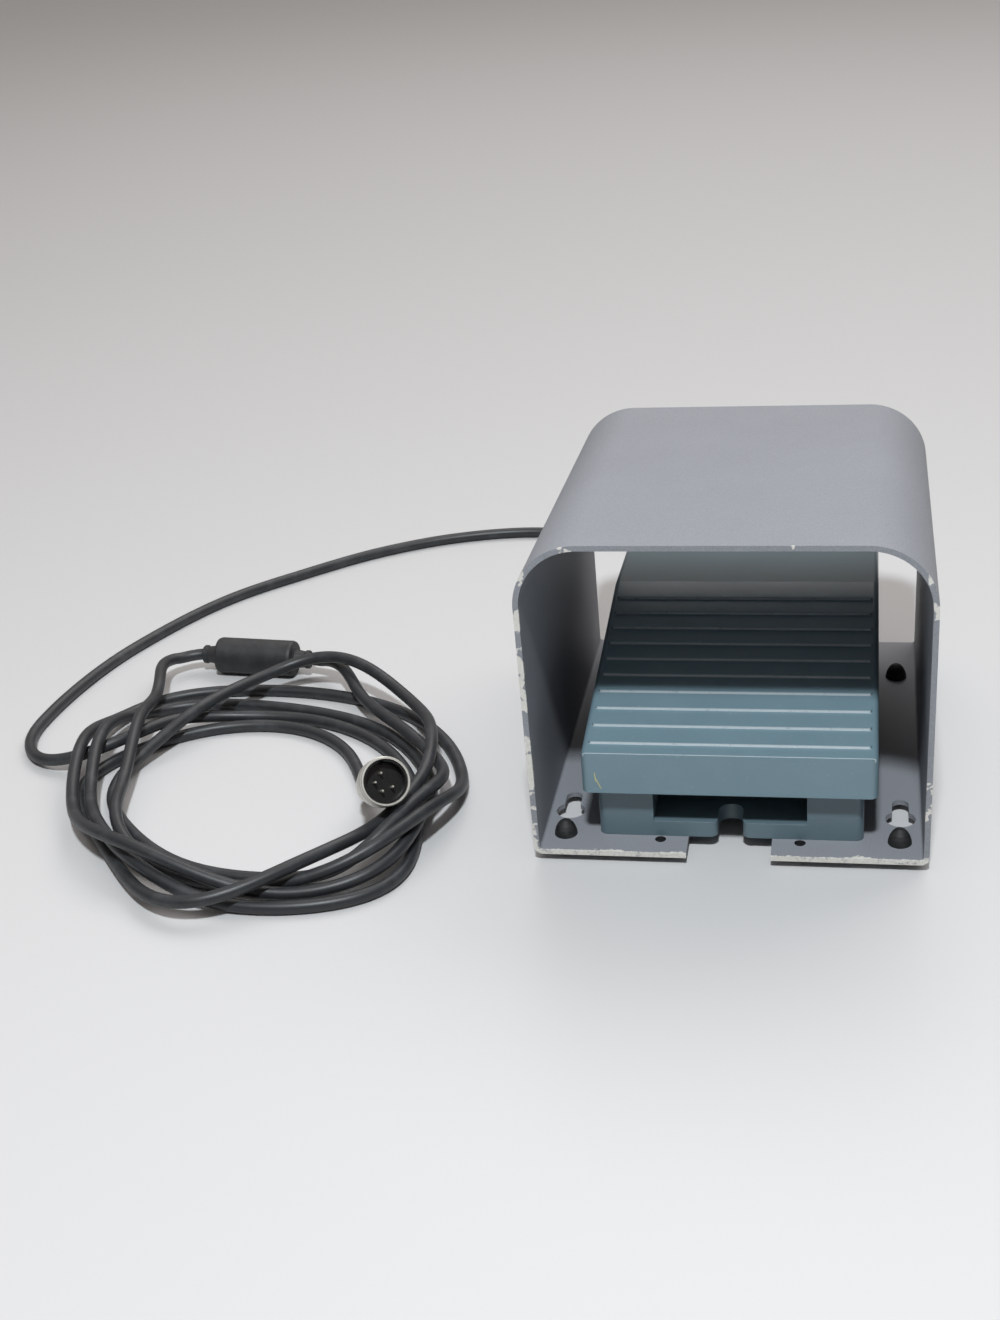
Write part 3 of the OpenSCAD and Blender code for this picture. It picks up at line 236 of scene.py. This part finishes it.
camera_data = bpy.data.cameras.new("camera")
camera_data.lens = 50.79
camera_data.sensor_width = 36.0
camera = bpy.data.objects.new("camera", camera_data)
scene.collection.objects.link(camera)
camera_at = (0.046231, -0.649315, 0.369048)
yaw, pitch, roll = -0.215, 0.462, -0.086
ahead = np.array([math.sin(yaw) * math.cos(pitch), math.cos(yaw) * math.cos(pitch), -math.sin(pitch)])
level = np.array([math.cos(yaw), -math.sin(yaw), 0.0])
upright = np.cross(level, ahead)
camera_turn = np.eye(4)
camera_turn[:3, 0] = math.cos(roll) * level + math.sin(roll) * upright
camera_turn[:3, 1] = -math.sin(roll) * level + math.cos(roll) * upright
camera_turn[:3, 2] = -ahead
camera_turn[:3, 3] = camera_at
camera.matrix_world = Matrix(camera_turn.tolist())
scene.camera = camera

# ------------------------------------------------------------------ guard hood
# Mild steel sheet, 2 mm thick, laser cut and bent four times, then powder coated. The coat is
# blue-grey and fine-grained, and shoes have knocked it off along the front edges.


def eased_copy(name, node, width, segments=2, angle=30):
    """A merged copy of a CAD node whose sharp edges get a small round of that width."""
    mesh = nodes[node].data.copy()
    mesh.name = name
    work = bmesh.new()
    work.from_mesh(mesh)
    bmesh.ops.remove_doubles(work, verts=work.verts, dist=2e-6)
    bmesh.ops.dissolve_limit(work, angle_limit=math.radians(0.6), verts=work.verts, edges=work.edges)
    work.to_mesh(mesh)
    work.free()
    mesh.shade_smooth()
    mesh.set_sharp_from_angle(angle=math.radians(angle))
    piece = link(name, mesh)
    ease = piece.modifiers.new("ease", "BEVEL")
    ease.width, ease.segments = width, segments
    ease.limit_method, ease.angle_limit = "ANGLE", math.radians(angle)
    ease.harden_normals = True
    ease.use_clamp_overlap = True
    return piece


guard_paint, place = new_finish("guard_paint")
hood_front, pilot_x, pilot_y, pilot_r2 = -86.0, 25.0, -76.8, 4.35
x_mm, y_mm, z_mm = (part * 1000.0 for part in place.axes())
behind_edge = y_mm - hood_front
patches = noise(place, 120.0, 3.0, 0.6)
ragged = noise(place, 900.0, 3.0, 0.65)
left_wall = x_mm.rise(-65.0, -67.0) * z_mm.rise(4.5, 6.5)
right_wall = x_mm.rise(66.0, 68.0) * z_mm.rise(4.5, 6.5)
foot_lip = z_mm.rise(7.5, 5.4)
high_edge = z_mm.rise(117.0, 119.0)
chip_reach = (
    left_wall * patches.rise(0.4, 0.6) * 2.3
    + right_wall * patches.rise(0.56, 0.66) * 2.0
    + foot_lip * (1.1 + patches.rise(0.48, 0.66) * 1.7)
    + high_edge * patches.rise(0.62, 0.7) * 1.5
)
chipped = ((chip_reach * (ragged * 1.9 - 0.1) - 0.5 - behind_edge) * 3.0).clamped()
grain = noise(place, 2600.0, 2.0, 0.6)
smudge = noise(place, 22.0, 4.0, 0.6)
dirt = noise(place, 34.0, 5.0, 0.72).rise(0.62, 0.8)
coat = smudge.blend(srgb(125, 128, 135), srgb(135, 138, 145))
coat = (dirt * 0.35).blend(coat, srgb(112, 114, 118))
coat = (grain.rise(0.4, 0.75) * 0.24).blend(coat, srgb(186, 189, 194))
coat = (grain.rise(0.42, 0.3) * 0.3).blend(coat, srgb(96, 98, 103))
bare = ragged.blend(srgb(190, 188, 182), srgb(228, 226, 220))
# Painted shade: the two pilot holes' bore walls are painted dark up to just under the flange's top face
off_x, off_y = abs(x_mm) - pilot_x, y_mm - pilot_y
pilot_bore_shade = (off_x * off_x + off_y * off_y < pilot_r2) * (z_mm < 4.9)
close_finish(
    place,
    base_color=pilot_bore_shade.blend(chipped.blend(coat, bare), srgb(34, 35, 37)),
    roughness=0.5 - chipped * 0.1 + grain * 0.12,
    height=grain * 0.35 + (1 - chipped) * 0.65,
    depth=0.00009,
)
hood = dress(eased_copy("hood_sheet", "guard_hood", 0.00035), guard_paint)
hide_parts("guard_hood")
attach(hood, "base")

# ------------------------------------------------------------------ rubber feet and hood screws
# Four push-in feet of black rubber, pulled through the flanges until their barbs spring open,
# and four zinc-plated screws that hold the flanges to the casting from below.

rubber, place = new_finish("black_rubber")
bloom = noise(place, 260.0, 4.0, 0.6)
skin = noise(place, 3000.0, 2.0, 0.5)
close_finish(
    place,
    base_color=bloom.rise(0.4, 0.75).blend(srgb(24, 24, 25), srgb(44, 44, 45)),
    roughness=0.52 + bloom * 0.2,
    height=skin,
    depth=0.00003,
)
dress(nodes["hood_feet"], rubber)

zinc, place = new_finish("zinc_plate")
spangle = noise(place, 700.0, 3.0, 0.6)
close_finish(
    place,
    base_color=spangle.blend(srgb(176, 176, 172), srgb(205, 204, 198)),
    metallic=1.0,
    roughness=0.3 + spangle * 0.18,
    height=spangle,
    depth=0.00002,
)
for name in ("hood_screws", "lid_screws", "block_screws", "pivot_pin", "pivot_clips", "plunger",
             "chamber_lid"):
    dress(nodes[name], zinc)
for name in ("stop_buffers", "chamber_gasket", "plunger_wiper", "gland_seal"):
    dress(nodes[name], rubber)

# ------------------------------------------------------------------ base casting
# Die-cast aluminium box with draft-rounded edges, blasted and enamelled blue. Its blue is painted
# darker than the pedal's, as painted shade from the pedal's overhang. Its front pocket holds the
# slotted fixing lug, and two rubber stops stand beside the pocket.

shaded_enamel_blue, place = new_finish("enamel_base_shaded")
cloud = noise(place, 60.0, 4.0, 0.55)
orange_peel = noise(place, 900.0, 2.0, 0.5)
# Painted shade: the pedal's enamel, painted darker for the shade under the pedal's overhang
close_finish(
    place,
    base_color=cloud.blend(srgb(88, 107, 116), srgb(97, 117, 126)),
    roughness=0.3 + cloud * 0.12,
    coat_weight=0.2,
    coat_roughness=0.2,
    height=orange_peel,
    depth=0.00004,
)
casting = dress(eased_copy("base_casting", "base_housing", 0.0008, segments=3), shaded_enamel_blue)
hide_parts("base_housing")
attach(casting, "base")

# ------------------------------------------------------------------ pedal
# Die-cast cap with a ribbed tread, enamelled with the base. The rib edges and the tread's front top
# edge are painted near white, partly as wear from shoes and partly as painted highlight, and the
# front wears a yellow two-stroke scratch.

rib_first, rib_pitch = -72.6, 10.3
enamel_tread, place = new_finish("enamel_pedal")
x_mm, y_mm, z_mm = (part * 1000.0 for part in place.axes())
cloud = noise(place, 50.0, 5.0, 0.6)
orange_peel = noise(place, 900.0, 2.0, 0.5)
scuff = noise(place, 300.0, 4.0, 0.7)
beside_rib = (((y_mm - rib_first) / rib_pitch + 0.5).fraction() - 0.5) * rib_pitch
on_top = z_mm.rise(36.5, 37.5) * y_mm.rise(21.5, 21.0) * (abs(x_mm) < 49.6)


def wear_and_glint_line(across, width):
    """A broken line of that half width where across is 0, for scratches and for wear with painted highlight.
    """
    return (1.0 - abs(across) / width).clamped() * scuff.rise(0.12, 0.45)


rib_half = 1.15
# Painted highlight and wear: rib edges and the front top edge are painted near white for glint and wear
lip_wear_and_glint = wear_and_glint_line(y_mm + 79.3, 0.26) * z_mm.rise(40.0, 40.8)
rib_edge_wear_and_glint = wear_and_glint_line(beside_rib + rib_half, 0.19) + wear_and_glint_line(beside_rib - rib_half, 0.16) * 0.5
wear_and_glint = (on_top * rib_edge_wear_and_glint + lip_wear_and_glint).clamped()
stroke = (wear_and_glint_line(x_mm + 47.2 + (z_mm - 33.0) * 0.1, 0.3) * z_mm.rise(30.2, 31.0) * z_mm.rise(34.4, 33.8)
          + wear_and_glint_line(x_mm + 46.0 + (z_mm - 29.5) * 0.45, 0.35) * z_mm.rise(27.4, 28.0) * z_mm.rise(32.2, 31.4))
stroke = (stroke * (y_mm < -78.0)).clamped()
specks = noise(place, 520.0, 1.0, 0.4).rise(0.72, 0.75)
enamel = cloud.blend(srgb(104, 129, 140), srgb(114, 139, 150))
enamel = (specks * 0.12).blend(enamel, srgb(150, 170, 178))
close_finish(
    place,
    base_color=stroke.blend(wear_and_glint.blend(enamel, srgb(214, 222, 226)), srgb(196, 186, 120)),
    roughness=0.3 + cloud * 0.14,
    coat_weight=0.2,
    coat_roughness=0.2,
    height=orange_peel,
    depth=0.00004,
)
tread = dress(eased_copy("pedal_cap", "pedal", 0.0005), enamel_tread)
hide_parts("pedal")
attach(tread, "treadle")

# ------------------------------------------------------------------ contacts
# A moulded block with brass contacts, bridge and bush inside the sealed chamber.

brass, place = new_finish("brass")
tarnish = noise(place, 240.0, 4.0, 0.6)
close_finish(
    place,
    base_color=tarnish.blend(srgb(196, 160, 92), srgb(224, 192, 122)),
    metallic=1.0,
    roughness=0.24 + tarnish * 0.2,
)
for name in ("contact_bridge", "fixed_contacts", "terminal_screws", "plunger_bush"):
    dress(nodes[name], brass)
moulding, place = new_finish("black_moulding")
flow = noise(place, 700.0, 3.0, 0.5)
close_finish(
    place,
    base_color=flow.blend(srgb(26, 26, 28), srgb(38, 38, 40)),
    roughness=0.42 + flow * 0.12,
    height=flow,
    depth=0.00003,
)
for name in ("contact_block", "choke_core"):
    dress(nodes[name], moulding)
wire_red, place = new_finish("wire_jacket")
close_finish(
    place,
    base_color=noise(place, 400.0).blend(srgb(140, 40, 34), srgb(160, 52, 44)),
    roughness=0.35,
)
dress(nodes["inner_wires"], wire_red)

# ------------------------------------------------------------------ cable gland
# Nickel-plated brass gland in the rear wall, whose cap nut squeezes a rubber sleeve on the lead.

nickel, place = new_finish("nickel_plate")
haze = noise(place, 300.0, 4.0, 0.6)
close_finish(
    place,
    base_color=haze.blend(srgb(206, 203, 196), srgb(230, 228, 221)),
    metallic=0.75,
    roughness=0.24 + haze * 0.16,
)
for name in ("gland_body", "gland_nut", "gland_locknut", "plug_shell", "plug_cable_nut"):
    dress(nodes[name], nickel)

# ------------------------------------------------------------------ lead
# One length of 5 mm round cable with a soft black jacket. It leaves the gland, swings round the
# left side, lies in a loose coil with the choke on its last free stretch, and ends in the plug.

cord_r = 2.5
lead_points = [
    (0, 74, 26), (0, 86, 26), (0, 100, 26), (0, 112, 25.6),
    (-2, 128, 22.4), (-7.5, 146, 15.5), (-18.5, 164, 8.2), (-36, 181.5, 3.8), (-58, 196.5, 2.5),
    (-85, 208.5, 2.5), (-118, 213.8, 2.5), (-158, 206.4, 2.5), (-192.4, 189.1, 2.5),
    (-226.6, 161.1, 2.5), (-253.3, 134.4, 2.5), (-279.3, 90, 2.5),
    (-291, 60, 2.5), (-297.5, 31, 2.5), (-300, 7, 2.5), (-298, -12, 2.5), (-290.5, -25.5, 2.5),
    (-277, -31.5, 2.5), (-262, -28, 2.5), (-250, -17, 2.5),
]
coil_centre = (-190, -45)
coil_reach = [
    [0, 66, 59, 57, 66, 96, 78, 63],
    [66, 88, 66, 64.5, 72.5, 90, 72, 69],
    [73, 97, 82, 80.5, 84.5, 84, 66, 57],
    [51.5, 86, 0, 0, 78.5, 78, 59.5, 51],
    [58, 58, 90, 77, 72, 72, 89, 63],
    [72, 60, 51, 44],
]
arch_height = [0, 7, 12, 12, 11.5, 9, 8, 0]
choke_left = np.array([-244, 61.8, 8.0])
choke_yaw = math.radians(-4.9)
choke_dir = np.array([math.cos(choke_yaw), math.sin(choke_yaw), 0.0])
choke_l, plug_l = 50.5, 34
choke_right = choke_left + choke_l * choke_dir
plug_face = np.array([-124.9, -79.2, 28.0])
plug_rise, plug_turn = math.radians(32), math.radians(28)
plug_dir = np.array([
    math.cos(plug_rise) * math.sin(plug_turn),
    -math.cos(plug_rise) * math.cos(plug_turn),
    math.sin(plug_rise),
])
plug_rear = plug_face - plug_l * plug_dir


def coil_point(k):
    """Point k eighths of a turn into the coil, its height raised on the turn over the choke."""
    turn, part = divmod(k, 8)
    a, reach = math.radians(180 - 45 * k), coil_reach[turn][part]
    high = max(cord_r, arch_height[part]) if turn == 4 else cord_r
    return (coil_centre[0] + reach * math.cos(a), coil_centre[1] + reach * math.sin(a), high)


before_choke = [(-252, 28, 8.5), (-257.5, 40, 8.3), (-258.6, 50, 8), (-254.4, 58.4, 8)]
after_choke = [(-178, 49, 7), (-168, 33, 4), (-152, 10, 2.5)]
route = np.array(
    lead_points
    + [coil_point(k) for k in range(1, 26)]
    + before_choke
    + [tuple(choke_left), tuple(choke_right), tuple(choke_right + 6 * choke_dir)]
    + after_choke
    + [coil_point(k) for k in range(28, 44)]
    + [(*(plug_rear - 25 * plug_dir)[:2], 2.5), (*(plug_rear - 15 * plug_dir)[:2], 2.9)]
    + [tuple(plug_rear - 6 * plug_dir), tuple(plug_rear), tuple(plug_rear + 8 * plug_dir)]
)
lead_end = len(lead_points) - 1
choke_in = lead_end + 1 + 25 + len(before_choke)
choke_out = choke_in + 1
coil_again = choke_out + 2 + len(after_choke)
plug_in = len(route) - 2


def route_samples(points):
    """Cubic through the points: at each the slope is its two chords' mean, the nearer counting
    more. Gives the samples and the span of each."""
    chord = np.diff(points, axis=0)
    span = np.linalg.norm(chord, axis=1)
    chord /= span[:, None]
    slope = np.concatenate([chord[:1], (span[1:, None] * chord[:-1] + span[:-1, None] * chord[1:])
                            / (span[1:] + span[:-1])[:, None], chord[-1:]])
    slope[[choke_in, choke_out]] = choke_dir
    steps = 3 * np.clip(np.floor(span / 12 + 0.5), 1, 3).astype(int)
    i = np.repeat(np.arange(len(span)), steps)
    t = (np.arange(len(i)) - np.repeat(np.cumsum(steps) - steps, steps)) / steps[i]
    t, d = t[:, None], span[i][:, None]
    spot = ((2 * t**3 - 3 * t**2 + 1) * points[i] + (t**3 - 2 * t**2 + t) * d * slope[i]
            + (3 * t**2 - 2 * t**3) * points[i + 1] + (t**3 - t**2) * d * slope[i + 1])
    return np.vstack([spot, points[-1:]]), np.append(i, len(points) - 1)


def eased(spot, i, rounds):
    """The samples with their kinks eased and the turns' size kept: each round moves a sample half
    way to the middle of its two neighbours, then half way back. Near the gland, the choke and the
    plug it moves less."""
    count = np.arange(len(spot))
    tied = np.where((i < lead_end - 8) | (i == choke_in) | (i >= plug_in - 2))[0]
    free = np.clip(np.abs(count[:, None] - tied).min(1) / 3, 0, 1)
    off_plug = np.linalg.norm(spot[:, :2] - (plug_face - 10 * plug_dir)[:2], axis=1)
    free = (free * np.clip((off_plug - 20) / 30, 0.05, 1))[:, None]
    for _ in range(rounds):
        for share in (0.5, -0.5):
            middle = np.vstack([spot[:1], (spot[:-2] + spot[2:]) / 2, spot[-1:]])
            spot = spot + share * free * (middle - spot)
    return spot


def piled(spot, i):
    """Heights of samples that lie over others: where two stretches pass within a cord and 0.9 mm
    in plan, the one laid later is lifted clear in a raised-cosine hump 84 mm long. The stretch
    just before the choke lies over all others, and the tail's last stretch under them."""
    s = np.append(0, np.cumsum(np.linalg.norm(np.diff(spot[:, :2], axis=0), axis=1)))
    held = (i < lead_end - 5) | ((i >= choke_in - 1) & (i <= choke_out)) | (i >= plug_in - 3)
    on_top_of_all, under_all = (i >= lead_end + 23) & (i < choke_in), i >= coil_again + 10
    order = s + np.where(on_top_of_all, 5000, 0) - np.where(under_all, 5000, 0)
    apart = np.linalg.norm(spot[:, None, :2] - spot[None, :, :2], axis=2)
    need, half_hump = 2 * cord_r + 0.9, 42
    over, under = np.where((apart < need) & (np.abs(s[:, None] - s) > 120) & (order[:, None] > order))
    rise = 1.3 * np.sqrt(need**2 - apart[over, under] ** 2)
    hump = 0.5 * (1 + np.cos(np.pi * np.clip(np.abs(s[:, None] - s) / half_hump, 0, 1)))
    flat, z = spot[:, 2], spot[:, 2]
    for _ in range(8):
        lift = np.zeros(len(z))
        free = (flat[over] <= z[under] - rise) & (z[over] <= z[under] - 0.98 * rise)
        np.maximum.at(lift, over, np.where(free, 0, np.maximum(0, z[under] + rise - flat[over])))
        z = np.where(held, flat, flat + (lift * hump).max(1))
    for _ in range(4):
        z[1:-1] = np.where(held[1:-1], z[1:-1], (z[:-2] + 2 * z[1:-1] + z[2:]) / 4)
    return np.maximum(z, cord_r)


def even_path(points, step):
    """The same line at even steps: Catmull-Rom through the points, four steps to a span, then
    read off at equal lengths."""
    p = np.vstack([2 * points[:1] - points[1:2], points, 2 * points[-1:] - points[-2:-1]])
    t = (np.arange(4) / 4)[None, :, None]
    a, b, c, d = (p[k:len(p) - 3 + k, None] for k in range(4))
    fine = 0.5 * (2 * b + (c - a) * t + (2 * a - 5 * b + 4 * c - d) * t**2 + (3 * b - a - 3 * c + d) * t**3)
    fine = np.vstack([fine.reshape(-1, 3), points[-1:]])
    s = np.append(0, np.cumsum(np.linalg.norm(np.diff(fine, axis=0), axis=1)))
    at = np.linspace(0, s[-1], int(round(s[-1] / step)) + 1)
    return np.stack([np.interp(at, s, fine[:, k]) for k in range(3)], 1), s[-1]


def tube_points(path, radius, sides):
    """Rings round a path: at each point the circle lies square to the path's direction, with its
    sides reckoned from the level direction across it."""
    way = np.gradient(path, axis=0)
    way /= np.linalg.norm(way, axis=1)[:, None]
    across = np.cross(way, [0.0, 0.0, 1.0])
    across /= np.linalg.norm(across, axis=1)[:, None]
    up = np.cross(across, way)
    a = np.linspace(0, 2 * np.pi, sides, endpoint=False)
    radius = np.broadcast_to(radius, len(path))[:, None, None]
    cos_a, sin_a = np.cos(a)[None, :, None], np.sin(a)[None, :, None]
    return path[:, None] + radius * (cos_a * across[:, None] + sin_a * up[:, None])


flat_spots, span_of = route_samples(route)
flat_spots = eased(flat_spots, span_of, 200)
lead_line = flat_spots.copy()
lead_line[:, 2] = piled(flat_spots, span_of)
lead_path, lead_length = even_path(lead_line * 0.001, 0.0025)
jacket_mesh = grid_mesh("lead_jacket", tube_points(lead_path, cord_r * 0.001, 16), wrap_v=True, caps=True)

jacket_finish, place = new_finish("cord_jacket")
dust = noise(place, 90.0, 5.0, 0.65)
skin = noise(place, 1800.0, 2.0, 0.5)
close_finish(
    place,
    base_color=dust.rise(0.45, 0.8).blend(srgb(40, 42, 45), srgb(62, 64, 67)),
    roughness=0.36 + dust * 0.16,
    height=skin,
    depth=0.00003,
)
jacket = dress(link("lead_jacket", jacket_mesh), jacket_finish)
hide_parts("cord_lead", "cord_coil", "cord_tail")
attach(jacket, "base")

# ------------------------------------------------------------------ choke
# Soft black moulding over the ferrite tube, a little paler than the jacket, with a faint bloom.

choke_black, place = new_finish("choke_moulding")
bloom = noise(place, 150.0, 5.0, 0.65)
pores = noise(place, 1500.0, 2.0, 0.5)
close_finish(
    place,
    base_color=bloom.rise(0.35, 0.75).blend(srgb(35, 36, 38), srgb(51, 52, 54)),
    roughness=0.5 + bloom * 0.16,
    height=pores,
    depth=0.00005,
)
dress(nodes["choke_shell"], choke_black)

# ------------------------------------------------------------------ plug
# Nickel-plated coupling ring with a cut diamond knurl, round a black insert with four pins set
# back inside it.

ring_outer = 9.25
knurl_z = np.linspace(2.6, 8.8, 32)
ring_profile = np.array(
    [(7.65, 1.5), (7.65, 0), (8.25, 0), (8.85, 0.5), (8.85, 2.0), (9.25, 2.4)]
    + [(ring_outer, z) for z in knurl_z]
    + [(9.25, 9.0), (8.9, 9.35), (8.9, 10.4), (9.25, 10.8), (9.25, 12.6), (8.95, 13.0)]
    + [(8.35, 13.0), (8.3, 12.9)]
)
ring_sides, knurl_depth, ring_start = 216, 0.24, 21.0
ring_turn = np.linspace(0, 2 * np.pi, ring_sides, endpoint=False)[:, None]
ring_along = ring_profile[:, 1]
ring_reach = np.broadcast_to(ring_profile[:, 0], (ring_sides, len(ring_profile))).copy()
# Groove depth of two crossed screw lines, 36 to the turn: 0.24 (1 - least(|sin a|, |sin b|))
right_hand = abs(np.sin(18 * ring_turn + 1.95 * ring_along))
left_hand = abs(np.sin(18 * ring_turn - 1.95 * ring_along))
knurled = (ring_along > 2.5) & (ring_along < 8.9)
ring_reach[:, knurled] -= knurl_depth * (1 - np.minimum(right_hand, left_hand)[:, knurled])
plug_side = np.array([math.cos(plug_turn), math.sin(plug_turn), 0.0])
plug_up = np.cross(plug_dir, plug_side)
outward = np.cos(ring_turn)[:, :, None] * plug_side + np.sin(ring_turn)[:, :, None] * plug_up
ring_points = (
    plug_rear + ring_reach[:, :, None] * outward
    + (ring_start + ring_along)[None, :, None] * plug_dir
)
ring_mesh = grid_mesh("knurled_ring", ring_points * 0.001, wrap_u=True, wrap_v=True)
ring_mesh.set_sharp_from_angle(angle=math.radians(28))
ring = dress(link("knurled_ring", ring_mesh), nickel)
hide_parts("coupling_ring")
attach(ring, "plug_lock")

insert_black, place = new_finish("insert_black")
sheen = noise(place, 900.0, 3.0, 0.5)
close_finish(
    place,
    base_color=sheen.blend(srgb(10, 10, 11), srgb(17, 17, 18)),
    roughness=0.22 + sheen * 0.1,
)
dress(nodes["plug_insert"], insert_black)
pin_bright, place = new_finish("pin_plate")
close_finish(
    place,
    base_color=noise(place, 900.0).blend(srgb(228, 222, 206), srgb(240, 236, 226)),
    metallic=0.6,
    roughness=0.25,
)
dress(nodes["plug_pins"], pin_bright)

# ------------------------------------------------------------------ pedal spring
# One coiled wire of zinc-plated steel between the casting's floor and the seat under the tread.
# Its end turns lie closer.

spring_low, spring_high = np.array(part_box("return_spring")) * 1000
spring_wire_r, spring_mean_r, spring_turns = 0.8, 7.65, 6
t = np.linspace(0, 1, spring_turns * 30 + 1)
# Rise of the wire along the turns: t - 0.4 sin(2 pi t) / (2 pi)
rise = t - 0.4 * np.sin(2 * np.pi * t) / (2 * np.pi)
middle = (spring_low + spring_high) / 2
spring_line = np.stack([
    middle[0] + spring_mean_r * np.cos(2 * np.pi * spring_turns * t),
    middle[1] + spring_mean_r * np.sin(2 * np.pi * spring_turns * t),
    spring_low[2] + spring_wire_r + (spring_high[2] - spring_low[2] - 2 * spring_wire_r) * rise,
], 1)
spring_rings = tube_points(spring_line, spring_wire_r, 12) * 0.001
spring_mesh = grid_mesh("pedal_spring", spring_rings, wrap_v=True, caps=True)
spring = dress(link("pedal_spring", spring_mesh), zinc)
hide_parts("return_spring")
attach(spring, "base")
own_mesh(spring)
